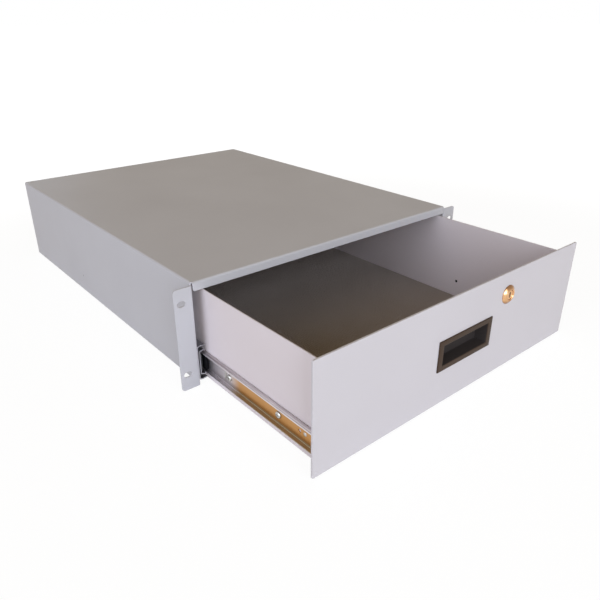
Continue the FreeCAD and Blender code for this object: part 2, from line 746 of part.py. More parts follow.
def make_tray():
    """Floor and sides of the tray, folded from one sheet."""
    body = new_body("drawer_tray")
    fold = size.tray_bend + size.tray_sheet / 2
    side = at(TRAY_SIDE) - size.tray_sheet / 2
    low = at(TRAY_BOTTOM) + size.tray_sheet / 2
    upright = Run(at(TRAY_TOP) - low - fold)
    section = strip((-side, at(TRAY_TOP)), 270, [
        upright, Bend(fold, 90), Run(2 * (side - fold)), Bend(fold, 90), upright,
    ], size.tray_sheet)
    add(body, "FloorAndSides", "XZ", PANEL_BACK, f"{TRAY_BACK} - {PANEL_BACK}", section)
    side_holes = cut(body, "SlideScrewHoles", "YZ", f"-{TRAY_SIDE} - Sizes.tray_sheet", "3 * Sizes.tray_sheet",
                     *[circle(place, SLIDE_LEVEL, "Sizes.screw_diameter + 2 * Sizes.hole_clearance")
                       for place in TRAY_SCREWS])
    mirror_features(body, "RightHoles", [side_holes])
    body.setExpression("Placement.Base.y", OPEN_TRAVEL)
    return body


def add_tray_wall(body, level):
    """Wall that is welded in between the sides of the tray, with its lower corners in the folds."""
    add(body, "Wall", "XZ", level, "Sizes.tray_sheet",
        rectangle(f"-{TRAY_INSIDE}", TRAY_INSIDE, f"{TRAY_BOTTOM} + Sizes.tray_sheet", TRAY_TOP))
    middle = (at(TRAY_BOTTOM) + at(TRAY_TOP)) / 2
    round_edges(body, "LowerCorners", "Sizes.tray_bend",
                lambda edge: runs_along(edge, AXIS_Y) and edge.CenterOfMass.z < middle)


def make_tray_front():
    """Front wall of the tray, with openings for the handle, the lock and the studs of the panel."""
    body = new_body("tray_front_wall")
    add_tray_wall(body, PANEL_BACK)
    studs = [circle(across, up, "Sizes.stud_diameter + 2 * Sizes.hole_clearance") for across, up in PANEL_STUDS]
    cut(body, "Openings", "XZ", f"{PANEL_BACK} - Sizes.tray_sheet", "3 * Sizes.tray_sheet",
        handle_opening(), lock_opening(), *studs)
    body.setExpression("Placement.Base.y", OPEN_TRAVEL)
    return body


def make_tray_rear():
    """Rear wall of the tray."""
    body = new_body("tray_rear_wall")
    add_tray_wall(body, f"{TRAY_BACK} - Sizes.tray_sheet")
    body.setExpression("Placement.Base.y", OPEN_TRAVEL)
    return body


def handle_opening():
    """The opening that the body of the handle passes through."""
    half = "(Sizes.handle_mouth_width / 2 + Sizes.handle_wall + Sizes.handle_fit)"
    up = "(Sizes.handle_mouth_height / 2 + Sizes.handle_wall + Sizes.handle_fit)"
    return rectangle(f"-{half}", half, f"{HANDLE_LEVEL} - {up}", f"{HANDLE_LEVEL} + {up}")


def lock_opening():
    """The round opening that the barrel of the lock passes through."""
    return circle("Sizes.lock_across", LOCK_LEVEL, "Sizes.lock_barrel + 2 * Sizes.hole_clearance")


PANEL_STUDS = [
    (f"{side} * ({TRAY_SIDE} - Sizes.stud_side_inset)", up)
    for side in (-1, 1)
    for up in (f"({PANEL_TOP} - Sizes.stud_level_inset)", f"({PANEL_BOTTOM} + Sizes.stud_level_inset)")
]


def make_front_panel():
    """Flat front panel with openings for the handle and the lock."""
    body = new_body("front_panel")
    half = f"({CASE_SIDE} + Sizes.panel_side_lap)"
    outline = rectangle(f"-{half}", half, PANEL_BOTTOM, PANEL_TOP)
    add(body, "Plate", "XZ", PANEL_FRONT, "Sizes.panel_sheet", outline)
    round_edges(body, "Corners", "Sizes.panel_corner", lambda edge: runs_along(edge, AXIS_Y))
    cut(body, "Openings", "XZ", f"{PANEL_FRONT} - Sizes.panel_sheet", "3 * Sizes.panel_sheet",
        handle_opening(), lock_opening())
    body.setExpression("Placement.Base.y", OPEN_TRAVEL)
    return body


def make_panel_fasteners():
    """Studs welded to the panel's back, each with its nut inside the front wall of the tray."""
    face = size.tray_sheet
    shank = size.stud_diameter / 2
    nut = size.stud_nut / math.sqrt(3)
    fasteners = []
    for across, up in PANEL_STUDS:
        place = Vector(at(across), at(PANEL_BACK), at(up))
        stud = faceted([(0, 0), (0, shank), (size.stud_length, shank), (size.stud_length, 0)], place, AXIS_Y)
        top = face + size.stud_nut_height
        ring = faceted([(face, 0), (face, nut), (top, nut), (top, 0)], place, AXIS_Y, 6)
        fasteners.append(stud.fuse(ring).removeSplitter())
    return group("panel_fasteners", fasteners, OPEN_TRAVEL)


def make_mat():
    """Rubber mat on the floor of the tray."""
    body = new_body("drawer_mat")
    half = f"({TRAY_INSIDE} - Sizes.mat_margin)"
    margin = "(Sizes.tray_sheet + Sizes.mat_margin)"
    add(body, "Sheet", "XY", f"{TRAY_BOTTOM} + Sizes.tray_sheet", "Sizes.mat_thickness",
        rectangle(f"-{half}", half, f"{PANEL_BACK} + {margin}", f"{TRAY_BACK} - {margin}"))
    body.setExpression("Placement.Base.y", OPEN_TRAVEL)
    return body


def make_handle():
    """Moulded flush pull: a bevelled frame round the mouth of a hollow body."""
    body = new_body("pull_handle")
    half = "Sizes.handle_width / 2"
    up = "Sizes.handle_height / 2"
    add(body, "Frame", "XZ", f"{PANEL_FRONT} - Sizes.handle_face", "Sizes.handle_face",
        rectangle(f"-{half}", half, f"{HANDLE_LEVEL} - {up}", f"{HANDLE_LEVEL} + {up}"))
    front = at(PANEL_FRONT) - size.handle_face
    bevel_edges(body, "FrameBevel", "Sizes.handle_bevel", lambda edge: abs(edge.CenterOfMass.y - front) < 0.01)
    mouth = "Sizes.handle_mouth_width / 2"
    mouth_up = "Sizes.handle_mouth_height / 2"
    add(body, "Shell", "XZ", PANEL_FRONT, "Sizes.handle_depth",
        rectangle(f"-{mouth} - Sizes.handle_wall", f"{mouth} + Sizes.handle_wall",
                  f"{HANDLE_LEVEL} - {mouth_up} - Sizes.handle_wall",
                  f"{HANDLE_LEVEL} + {mouth_up} + Sizes.handle_wall"))
    cut(body, "Mouth", "XZ", f"{PANEL_FRONT} - Sizes.handle_face",
        "Sizes.handle_face + Sizes.handle_depth - Sizes.handle_wall",
        rectangle(f"-{mouth}", mouth, f"{HANDLE_LEVEL} - {mouth_up}", f"{HANDLE_LEVEL} + {mouth_up}"))
    round_edges(body, "MouthCorners", "Sizes.handle_mouth_corner", is_mouth_corner)
    body.setExpression("Placement.Base.y", OPEN_TRAVEL)
    return body


def is_mouth_corner(edge):
    """The four edges along the depth of the handle's mouth."""
    return runs_along(edge, AXIS_Y) and abs(abs(edge.CenterOfMass.x) - size.handle_mouth_width / 2) < 0.01


def make_lock():
    """Cam lock: fixed housing and nut, and the plug that turns the cam and its nut."""
    face = Vector(size.lock_across, at(PANEL_FRONT), at(LOCK_LEVEL))
    bezel = size.lock_bezel / 2
    bore = size.lock_bore / 2
    barrel = size.lock_barrel / 2
    rear = size.lock_barrel_length
    housing = faceted([
        (0, bezel), (-size.lock_bezel_rim, bezel), (-size.lock_bezel_height, size.lock_bezel_nose / 2),
        (-size.lock_bezel_height, bore), (rear, bore), (rear, barrel), (0, barrel), (0, bezel),
    ], face, AXIS_Y, LOCK_SIDES)
    group("lock_housing", [housing], OPEN_TRAVEL)
    wall = size.panel_sheet + size.tray_sheet
    nut = hexagon(size.lock_nut, wall, size.lock_nut_height, barrel + size.hole_clearance, LOCK_SIDES)
    nut.translate(face)
    group("lock_nut", [nut], OPEN_TRAVEL)
    plug = bore - size.lock_plug_fit
    stem = size.cam_stem / 2
    front = size.lock_plug_recess - size.lock_bezel_height
    cam_front = rear + size.cam_gap
    cam_rear = cam_front + size.cam_sheet
    core = turned([
        (front, 0), (front, plug), (cam_front, plug), (cam_front, stem), (cam_rear + size.cam_nut_height, stem),
        (cam_rear + size.cam_nut_height, 0),
    ], face, AXIS_Y)
    keyway = Part.makeBox(size.lock_key_width, size.lock_key_depth, size.lock_key_height,
                          face + Vector(-size.lock_key_width / 2, front, -size.lock_key_height / 2))
    group("lock_plug", [core.cut(keyway)], OPEN_TRAVEL)
    hub = rod(size.cam_hub / 2, cam_front, size.cam_sheet, FASTENER_SIDES)
    arm = Part.makeBox(size.cam_reach, size.cam_sheet, size.cam_arm, Vector(0, cam_front, -size.cam_arm / 2))
    hole = rod(around(stem + size.cam_stem_fit), cam_front, size.cam_sheet, FASTENER_SIDES)
    cam = hub.fuse(arm).removeSplitter().cut(hole)
    cam.translate(face)
    group("lock_cam", [cam], OPEN_TRAVEL)
    cam_nut = hexagon(size.cam_nut, cam_rear, size.cam_nut_height, around(stem + size.cam_stem_fit))
    cam_nut.translate(face)
    group("lock_cam_nut", [cam_nut], OPEN_TRAVEL)


def around(radius, sides=FASTENER_SIDES):
    """Radius to the corners of a faceted bore that leaves a round shaft of a given radius free."""
    return radius / math.cos(math.pi / sides)


def rod(radius, start, length, sides):
    """A faceted rod about the Y axis."""
    points = [(start, 0), (start, radius), (start + length, radius), (start + length, 0)]
    return faceted(points, Vector(0, 0, 0), AXIS_Y, sides)


def hexagon(across_flats, start, height, hole, sides=FASTENER_SIDES):
    """A hexagonal nut about the Y axis, with a bore of a given radius to its corners."""
    return rod(across_flats / math.sqrt(3), start, height, 6).cut(rod(hole, start, height, sides))


# ---------------------------------------------------------------- assembly

make_case_cover()
make_back_panel()
LEFT_PARTS = [
    make_case_side(), make_slide_outer(), make_slide_middle(), make_slide_inner(), make_slide_stop(),
    make_slide_bumper(), make_rivets(), make_tray_screws(),
]
OUTER_CAGE_WEB = size.slide_sheet + size.outer_cage_gap + size.cage_sheet / 2
INNER_CAGE_WEB = MIDDLE_WEB + size.slide_sheet / 2 + size.inner_cage_gap + size.cage_sheet / 2
CAGES = (
    ("outer", OUTER_CAGE_WEB, size.outer_cage_reach, OUTER_BALL_ACROSS, OUTER_BALL_UP, "0"),
    ("inner", INNER_CAGE_WEB, size.inner_cage_reach, INNER_BALL_ACROSS, INNER_BALL_UP, HALF_OPEN_TRAVEL),
)
for name, web, reach, across, up, travel in CAGES:
    LEFT_PARTS.append(make_cage(f"{name}_cage_left", web, reach, across, up, f"{name}_ball", travel))
    LEFT_PARTS.append(make_balls(f"{name}_balls_left", across, up, f"{name}_ball", travel))
for part in LEFT_PARTS:
    mirror_part(part, part.Label.replace("left", "right"))
make_tray()
make_tray_front()
make_tray_rear()
make_front_panel()
make_panel_fasteners()
make_mat()
make_handle()
make_lock()
doc.recompute()


# ---------------------------------------------------------------- checks and files

def sub_parts():
    """The objects that each become a file."""
    kinds = ("PartDesign::Body", "Part::Feature", "Part::Mirroring")
    return [thing for thing in doc.Objects if thing.TypeId in kinds]


for thing in doc.Objects:
    faults = [state for state in thing.State if state in ("Invalid", "Error")]
    if faults:
        raise RuntimeError(f"{thing.Label} is {faults}")
    if thing.TypeId == "PartDesign::Pocket" and thing.Shape.Volume >= thing.BaseFeature.Shape.Volume:
        raise RuntimeError(f"{thing.Label} cuts nothing")

os.makedirs("parts", exist_ok=True)
for part in sub_parts():
    if part.Shape.isNull() or not part.Shape.isValid():
        raise RuntimeError(f"{part.Label} has no valid shape")
    part.Shape.exportStep(f"parts/{part.Label}.step")
    box = part.Shape.BoundBox
    print(f"{part.Label}: {len(part.Shape.Solids)} solid(s), "
          f"X {box.XMin:.1f}..{box.XMax:.1f}, Y {box.YMin:.1f}..{box.YMax:.1f}, Z {box.ZMin:.1f}..{box.ZMax:.1f}")
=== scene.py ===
"""Dressed model of a sliding drawer for a 19-inch rack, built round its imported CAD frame."""
import logging
import math
from collections.abc import Callable
from dataclasses import dataclass, field
from enum import Enum

import bpy
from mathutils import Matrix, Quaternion, Vector


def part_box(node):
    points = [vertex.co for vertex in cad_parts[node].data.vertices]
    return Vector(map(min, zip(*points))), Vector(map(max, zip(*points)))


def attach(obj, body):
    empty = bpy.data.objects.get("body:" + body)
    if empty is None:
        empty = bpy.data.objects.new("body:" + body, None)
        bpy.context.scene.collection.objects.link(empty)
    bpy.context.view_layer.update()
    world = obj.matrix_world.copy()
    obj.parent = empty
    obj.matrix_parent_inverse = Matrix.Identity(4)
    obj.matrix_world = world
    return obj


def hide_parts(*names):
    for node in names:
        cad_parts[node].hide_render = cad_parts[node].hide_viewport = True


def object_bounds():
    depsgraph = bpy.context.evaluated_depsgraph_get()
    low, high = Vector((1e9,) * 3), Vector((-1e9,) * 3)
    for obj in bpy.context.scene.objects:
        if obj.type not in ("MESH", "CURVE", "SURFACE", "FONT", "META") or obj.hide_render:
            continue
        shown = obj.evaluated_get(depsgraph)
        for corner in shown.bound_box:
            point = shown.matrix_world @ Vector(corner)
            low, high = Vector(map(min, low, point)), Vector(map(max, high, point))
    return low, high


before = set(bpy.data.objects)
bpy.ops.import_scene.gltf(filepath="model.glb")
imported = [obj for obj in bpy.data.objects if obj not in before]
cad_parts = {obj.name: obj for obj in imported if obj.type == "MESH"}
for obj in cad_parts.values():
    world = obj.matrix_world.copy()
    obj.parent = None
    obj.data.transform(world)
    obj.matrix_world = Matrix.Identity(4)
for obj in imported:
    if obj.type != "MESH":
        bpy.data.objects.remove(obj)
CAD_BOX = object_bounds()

LOG = logging.getLogger("rack_drawer")
MM = 0.001
Triple = tuple[float, float, float]
Colour = Triple
Shade = tuple[int, int, int]
Piece = bpy.types.Object
Group = bpy.types.ShaderNodeTree
Socket = bpy.types.NodeSocket
Feed = Socket | float | Colour

# The curve of display colours: a straight start, then a power.
CURVE_START = 0.04045
CURVE_SLOPE = 12.92
CURVE_OFFSET = 0.055
CURVE_POWER = 2.4


def to_linear(level: int) -> float:
    """Turns an 8-bit display level into a linear share of light.

    Args:
        level: The level, from 0 to 255.

    Returns:
        The share, from 0 to 1.
    """
    share = level / 255
    if share <= CURVE_START:
        return share / CURVE_SLOPE
    return ((share + CURVE_OFFSET) / (1 + CURVE_OFFSET)) ** CURVE_POWER


def from_srgb(shade: Shade) -> Colour:
    """Turns an 8-bit display colour into a linear one."""
    red, green, blue = (to_linear(level) for level in shade)
    return red, green, blue


class Lay(Enum):
    """The way in which a grain runs over a surface, as its stretch along X, Y and Z."""

    EVEN = (1.0, 1.0, 1.0)
    ALONG_SLIDE = (1.0, 0.03, 1.0)


# ---------------- shader nodes

class Wiring:
    """Adds nodes to one node tree and feeds them."""

    def __init__(self, tree: bpy.types.NodeTree) -> None:
        """Takes up the tree."""
        self.tree = tree

    def add(self, kind: str, inputs: dict[str | int, Feed] | None = None,
            **settings: object) -> bpy.types.Node:
        """Adds a node.

        Args:
            kind: Its type, without the start that all types share.
            inputs: What its inputs get, by name or number.
            **settings: Its other settings by name.

        Returns:
            The node.
        """
        node = self.tree.nodes.new(f"ShaderNode{kind}")
        for label, value in settings.items():
            setattr(node, label, value)
        self.feed(node, inputs or {})
        return node

    def feed(self, node: bpy.types.Node, inputs: dict[str | int, Feed]) -> None:
        """Gives inputs of a node what they take: another node's output, a number or an opaque colour.

        Args:
            node: The node.
            inputs: What the inputs get, by name or number.
        """
        for label, value in inputs.items():
            if isinstance(value, Socket):
                self.tree.links.new(value, node.inputs[label])
            elif isinstance(value, tuple):
                node.inputs[label].default_value = (*value, 1.0)
            else:
                node.inputs[label].default_value = value

    def place(self) -> Socket:
        """The place of the shaded point on its object."""
        return self.add("TexCoord").outputs["Object"]

    def reckon(self, operation: str, *terms: Feed, clamp: bool = False) -> Socket:
        """Reckons with numbers.

        Args:
            operation: Blender's name of the operation.
            *terms: Its terms, in order.
            clamp: Whether the result is kept from 0 to 1.

        Returns:
            The result.
        """
        inputs = dict(enumerate(terms))
        return self.add("Math", inputs, operation=operation, use_clamp=clamp).outputs[0]

    def product(self, first: Feed, *others: Feed) -> Socket:
        """Multiplies shares.

        Args:
            first: The first share.
            *others: The others.

        Returns:
            Their product.
        """
        result = first
        for other in others:
            result = self.reckon("MULTIPLY", result, other)
        return result

    def ramp(self, value: Feed, start: float, end: float, low: float = 0.0, high: float = 1.0) -> Socket:
        """Changes smoothly from one level to another.

        Args:
            value: What the change follows.
            start: The value where it is at its first level.
            end: The value where it has come to its second one.
            low: The first level.
            high: The second level.

        Returns:
            The level.
        """
        inputs = {"Value": value, "From Min": start, "From Max": end, "To Min": low, "To Max": high}
        return self.add("MapRange", inputs, interpolation_type="SMOOTHSTEP").outputs["Result"]

    def blend(self, share: Feed, first: Feed, second: Feed) -> Socket:
        """Blends two colours.

        Args:
            share: How much of the second one there is, from 0 to 1.
            first: The first colour.
            second: The second colour.

        Returns:
            The blend.
        """
        inputs = {"Factor": share, "A": first, "B": second}
        return self.add("Mix", inputs, data_type="RGBA").outputs["Result"]


class ShaderGroups:
    """The shader groups that all finishes share, each built once."""

    CLOUD_DETAIL = 4.0
    MIDDLE = 0.5
    EDGE_SAMPLES = 4

    def __init__(self) -> None:
        """Builds every group."""
        self.grain = self._make_grain()
        self.mottle = self._make_mottle()
        self.edges = self._make_edges()

    @staticmethod
    def _start(name: str, inputs: dict[str, float], outputs: dict[str, str]) -> Group:
        """Starts a group.

        Args:
            name: The group's name.
            inputs: Names and default values of its number inputs.
            outputs: Names and socket types of its outputs.

        Returns:
            The group with its input and output nodes.
        """
        group = bpy.data.node_groups.new(name, "ShaderNodeTree")
        for label, value in inputs.items():
            socket = group.interface.new_socket(label, in_out="INPUT", socket_type="NodeSocketFloat")
            socket.default_value = value
        for label, kind in outputs.items():
            group.interface.new_socket(label, in_out="OUTPUT", socket_type=kind)
        group.nodes.new("NodeGroupInput").name = "in"
        group.nodes.new("NodeGroupOutput").name = "out"
        return group

    def _make_grain(self) -> Group:
        """Builds a fine grain that can be stretched along an axis.

        Returns:
            The group, which puts out a height from 0 to 1.
        """
        group = self._start(
            "fine_grain",
            {"Scale": 900.0, "Detail": 3.0, "Along X": 1.0, "Along Y": 1.0, "Along Z": 1.0},
            {"Height": "NodeSocketFloat"},
        )
        wiring, given = Wiring(group), group.nodes["in"].outputs
        stretch = wiring.add("CombineXYZ", {axis: given[f"Along {axis}"] for axis in "XYZ"})
        scaled = wiring.add("VectorMath", {0: wiring.place(), 1: stretch.outputs["Vector"]},
                            operation="MULTIPLY")
        noise = wiring.add("TexNoise", {
            "Vector": scaled.outputs["Vector"],
            "Scale": given["Scale"],
            "Detail": given["Detail"],
        })
        wiring.feed(group.nodes["out"], {"Height": noise.outputs["Fac"]})
        return group

    def _make_mottle(self) -> Group:
        """Builds slow clouds over a surface.

        Returns:
            The group, which puts out a mask from 0 to 1.
        """
        group = self._start("slow_mottle", {"Scale": 9.0, "Contrast": 1.0}, {"Mask": "NodeSocketFloat"})
        wiring, given = Wiring(group), group.nodes["in"].outputs
        noise = wiring.add("TexNoise", {
            "Vector": wiring.place(),
            "Scale": given["Scale"],
            "Detail": self.CLOUD_DETAIL,
        })
        centred = wiring.reckon("SUBTRACT", noise.outputs["Fac"], self.MIDDLE)
        spread = wiring.reckon("MULTIPLY_ADD", centred, given["Contrast"], self.MIDDLE, clamp=True)
        wiring.feed(group.nodes["out"], {"Mask": spread})
        return group

    def _make_edges(self) -> Group:
        """Builds the edges of a sheet.

        Returns:
            The group, which puts out a normal that rounds them over and a mask that is 1 on them.
        """
        group = self._start(
            "sheet_edges",
            {"Radius": 0.0005, "Spread": 6.0},
            {"Normal": "NodeSocketVector", "Mask": "NodeSocketFloat"},
        )
        wiring, given = Wiring(group), group.nodes["in"].outputs
        bevel = wiring.add("Bevel", {"Radius": given["Radius"]}, samples=self.EDGE_SAMPLES)
        flat = wiring.add("NewGeometry")
        same = wiring.add("VectorMath", {0: bevel.outputs["Normal"], 1: flat.outputs["Normal"]},
                          operation="DOT_PRODUCT")
        away = wiring.reckon("SUBTRACT", 1.0, same.outputs["Value"])
        spread = wiring.reckon("MULTIPLY", away, given["Spread"], clamp=True)
        wiring.feed(group.nodes["out"], {"Normal": bevel.outputs["Normal"], "Mask": spread})
        return group


# ---------------- finishes

@dataclass(frozen=True)
class Finish:
    """A finish: what all of them share, and how each becomes a material."""

    name: str
    colour: Shade
    cloud_colour: Shade
    # The colour on sharp edges is painted light: a painted highlight where it is lighter than the face,
    # painted shade where it is darker.
    painted_edge_light: Shade
    roughness: float
    cloud_roughness: float
    metallic: float = 0.0
    specular: float = 0.5
    grain_scale: float = 900.0
    grain_depth: float = 0.00004
    grain_lay: Lay = Lay.EVEN
    mottle_scale: float = 9.0
    mottle_contrast: float = 1.6
    edge_radius: float = 0.0005

    def material(self, groups: ShaderGroups) -> bpy.types.Material:
        """Builds the material.

        Args:
            groups: The shared shader groups.

        Returns:
            The finished material.
        """
        made = bpy.data.materials.new(self.name)
        made.use_nodes = True
        wiring = Wiring(made.node_tree)
        clouds = {"Scale": self.mottle_scale, "Contrast": self.mottle_contrast}
        mottle = wiring.add("Group", clouds, node_tree=groups.mottle).outputs["Mask"]
        edges = wiring.add("Group", {"Radius": self.edge_radius}, node_tree=groups.edges).outputs
        lay = {f"Along {axis}": stretch for axis, stretch in zip("XYZ", self.grain_lay.value)}
        grain = wiring.add("Group", {"Scale": self.grain_scale, **lay}, node_tree=groups.grain)
        clouded = wiring.blend(mottle, from_srgb(self.colour), from_srgb(self.cloud_colour))
        # Sharp edges take their own colour as painted light: a painted highlight, or painted shade where it
        # is darker.
        edges_with_painted_light = wiring.blend(edges["Mask"], clouded, from_srgb(self.painted_edge_light))
        rough = wiring.add("MapRange", {
            "Value": mottle,
            "To Min": self.roughness,
            "To Max": self.cloud_roughness,
        })
        bump = wiring.add("Bump", {
            "Distance": self.grain_depth,
            "Height": grain.outputs["Height"],
            "Normal": edges["Normal"],
        })
        wiring.feed(made.node_tree.nodes["Principled BSDF"], {
            "Base Color": self.tint(wiring, edges_with_painted_light),
            "Metallic": self.metallic,
            "Roughness": rough.outputs["Result"],
            "Specular IOR Level": self.specular,
            "Normal": bump.outputs["Normal"],
        })
        return made

    def tint(self, wiring: Wiring, colour: Socket) -> Socket:
        """Changes the colour before it reaches the shader; a plain finish leaves it alone."""
        return colour


@dataclass(frozen=True)
class PowderCoat(Finish):
    """Satin powder coat with a fine texture."""

    specular: float = 0.1
    grain_scale: float = 1500.0
    grain_depth: float = 0.00003


@dataclass(frozen=True)
class RolledZinc(Finish):
    """Zinc plate on rolled strip, with its grain along the slide."""

    metallic: float = 1.0
    grain_scale: float = 2600.0
    grain_depth: float = 0.000008
    grain_lay: Lay = Lay.ALONG_SLIDE


@dataclass(frozen=True)
class ZincWithPaintedReflection(RolledZinc):
    """Zinc plate with painted reflections: golden on the open web of a member and olive below it, towards its
    front.
    """

    golden_reflection: Shade = (188, 132, 52)
    olive_reflection: Shade = (162, 143, 108)
    front_from: float = -0.045
    front_to: float = -0.07
    web_level: float = -0.0373
    web_half: float = 0.0085
    web_blend: float = 0.0015
    golden_reflection_share: float = 0.9
    olive_reflection_share: float = 0.85

    def tint(self, wiring: Wiring, colour: Socket) -> Socket:
        """Paints the golden and the olive reflections.

        Args:
            wiring: The material's wiring.
            colour: The colour so far.

        Returns:
            The tinted colour.
        """
        along = wiring.add("SeparateXYZ", {"Vector": wiring.place()}).outputs
        top = self.web_level + self.web_half
        bottom = self.web_level - self.web_half
        # The painted reflections fade in towards the member's front, out of the case.
        front = wiring.ramp(along["Y"], self.front_from, self.front_to)
        under_top = wiring.ramp(along["Z"], top + self.web_blend, top)
        under_web = wiring.ramp(along["Z"], bottom, bottom - self.web_blend)
        web = wiring.reckon("SUBTRACT", under_top, under_web, clamp=True)
        golden_reflection_part = wiring.product(web, front, self.golden_reflection_share)
        olive_reflection_part = wiring.product(under_web, front, self.olive_reflection_share)
        with_golden_reflection = wiring.blend(golden_reflection_part, colour, from_srgb(self.golden_reflection))
        return wiring.blend(olive_reflection_part, with_golden_reflection, from_srgb(self.olive_reflection))


@dataclass(frozen=True)
class PaintedShadeRim(Finish):
    """Warm plating with painted shade: browner towards the top and the bottom of a round piece, where its
    reflections are darker.
    """

    painted_shade_colour: Shade = (128, 88, 58)
    middle_level: float = 0.0368
    clear_reach: float = 0.003
    full_reach: float = 0.0105
    painted_shade_share: float = 0.85

    def tint(self, wiring: Wiring, colour: Socket) -> Socket:
        """Paints shade on the rim, browner towards the top and the bottom.

        Args:
            wiring: The material's wiring.
            colour: The colour so far.

        Returns:
            The tinted colour.
        """
        level = wiring.add("SeparateXYZ", {"Vector": wiring.place()}).outputs["Z"]
        distance = wiring.reckon("ABSOLUTE", wiring.reckon("SUBTRACT", level, self.middle_level))
        # Painted shade: the rim darkens towards the top and the bottom, standing in for darker reflections.
        share = wiring.ramp(distance, self.clear_reach, self.full_reach, high=self.painted_shade_share)
        return wiring.blend(share, colour, from_srgb(self.painted_shade_colour))


PAINT = (197, 195, 198)
PAINT_CLOUD = (193, 191, 194)
# The paint's lighter edges are a painted highlight.
PAINT_EDGE_HIGHLIGHT = (214, 212, 216)

CASE_PAINT = PowderCoat(
    "case_powder_coat", PAINT, PAINT_CLOUD, PAINT_EDGE_HIGHLIGHT, roughness=0.42, cloud_roughness=0.5)
# The case paint, darker as painted shade so that the flush rivets show as dots.
RIVET_PAINT_SHADE = PowderCoat(
    "rivet_powder_coat_painted_shade", (168, 165, 168), (160, 157, 160), PAINT_EDGE_HIGHLIGHT,
    roughness=0.42, cloud_roughness=0.5, edge_radius=0.0008)
# The case's powder coat, made lighter on the panel and lighter and pinker on the tray, as painted light.
PANEL_PAINT_LIT = PowderCoat(
    "panel_powder_coat_painted_light", (209, 203, 205), (206, 200, 202), PAINT_EDGE_HIGHLIGHT,
    roughness=0.4, cloud_roughness=0.47)
TRAY_PAINT_LIT = PowderCoat(
    "tray_powder_coat_painted_light", (226, 216, 217), (222, 212, 213), PAINT_EDGE_HIGHLIGHT,
    roughness=0.4, cloud_roughness=0.5)
SLIDE_ZINC = RolledZinc(
    "slide_zinc", (188, 190, 196), (166, 166, 168), (232, 232, 236),
    roughness=0.3, cloud_roughness=0.42, mottle_scale=30.0, edge_radius=0.0003)
# The drawer member's zinc carries painted reflections: golden on its web and olive below it.
DRAWER_MEMBER_ZINC = ZincWithPaintedReflection(
    "drawer_member_zinc", (212, 205, 207), (190, 183, 184), (228, 228, 232),
    roughness=0.3, cloud_roughness=0.42, mottle_scale=30.0, edge_radius=0.0003)
CAGE_ZINC = RolledZinc(
    "cage_zinc", (170, 168, 164), (150, 148, 142), (210, 208, 205),
    roughness=0.32, cloud_roughness=0.45, edge_radius=0.0002)
BALL_STEEL = Finish(
    "ball_steel", (205, 205, 208), (196, 196, 198), (215, 215, 218),
    roughness=0.08, cloud_roughness=0.16, metallic=1.0, grain_depth=0.000002, edge_radius=0.0002)
SCREW_STEEL = Finish(
    "screw_steel", (196, 194, 190), (176, 172, 166), (226, 224, 220),
    roughness=0.25, cloud_roughness=0.38, metallic=1.0, grain_scale=3000.0, grain_depth=0.00001,
    edge_radius=0.0003)
SLIDE_PLASTIC = Finish(
    "slide_plastic", (28, 28, 30), (34, 34, 36), (52, 52, 54),
    roughness=0.45, cloud_roughness=0.55, grain_scale=1800.0, grain_depth=0.00002, edge_radius=0.0003)
LATCH_PLASTIC = Finish(
    "latch_plastic", (9, 9, 12), (12, 12, 14), (18, 18, 20),
    roughness=0.5, cloud_roughness=0.6, specular=0.08, grain_scale=1800.0, grain_depth=0.00002,
    edge_radius=0.0003)
# The pull's darker edges are painted shade.
HANDLE_PLASTIC = Finish(
    "handle_plastic", (73, 57, 45), (65, 51, 41), (40, 34, 30),
    roughness=0.42, cloud_roughness=0.5, specular=0.12, grain_scale=2200.0, grain_depth=0.00002,
    edge_radius=0.0006)
# The pull's plastic, darker as painted shade inside the finger recess; its rougher texture is the mould's.
PULL_RECESS_SHADE = Finish(
    "pull_recess_painted_shade", (54, 48, 46), (50, 45, 43), (30, 27, 26),
    roughness=0.5, cloud_roughness=0.6, specular=0.12, grain_scale=1400.0, grain_depth=0.00003,
    edge_radius=0.0006)
# Dark as painted shade on the screw tips inside the tray.
SCREW_TIP_SHADE = Finish(
    "screw_tip_painted_shade", (58, 56, 56), (48, 46, 45), (92, 90, 88),
    roughness=0.4, cloud_roughness=0.55, metallic=0.6, grain_scale=3000.0, grain_depth=0.00002,
    edge_radius=0.0002)
# Dark as painted shade inside the keyway.
KEYWAY_SHADE = Finish(
    "keyway_painted_shade", (34, 30, 28), (28, 25, 24), (60, 54, 48),
    roughness=0.5, cloud_roughness=0.6, metallic=0.5, grain_scale=3000.0, grain_depth=0.00001,
    edge_radius=0.0001)
MAT_RUBBER = Finish(
    "mat_rubber", (152, 141, 134), (158, 147, 140), (166, 155, 147),
    roughness=0.55, cloud_roughness=0.66, grain_scale=1300.0, grain_depth=0.00008, mottle_scale=14.0)
# Chrome coloured warm orange as a painted reflection, with painted shade towards its top and bottom.
LOCK_CHROME_PAINTED_LIGHT = PaintedShadeRim(
    "lock_chrome", (240, 196, 150), (214, 160, 108), (244, 216, 184),
    roughness=0.14, cloud_roughness=0.24, metallic=1.0, grain_depth=0.000002, mottle_scale=160.0,
    edge_radius=0.0003)

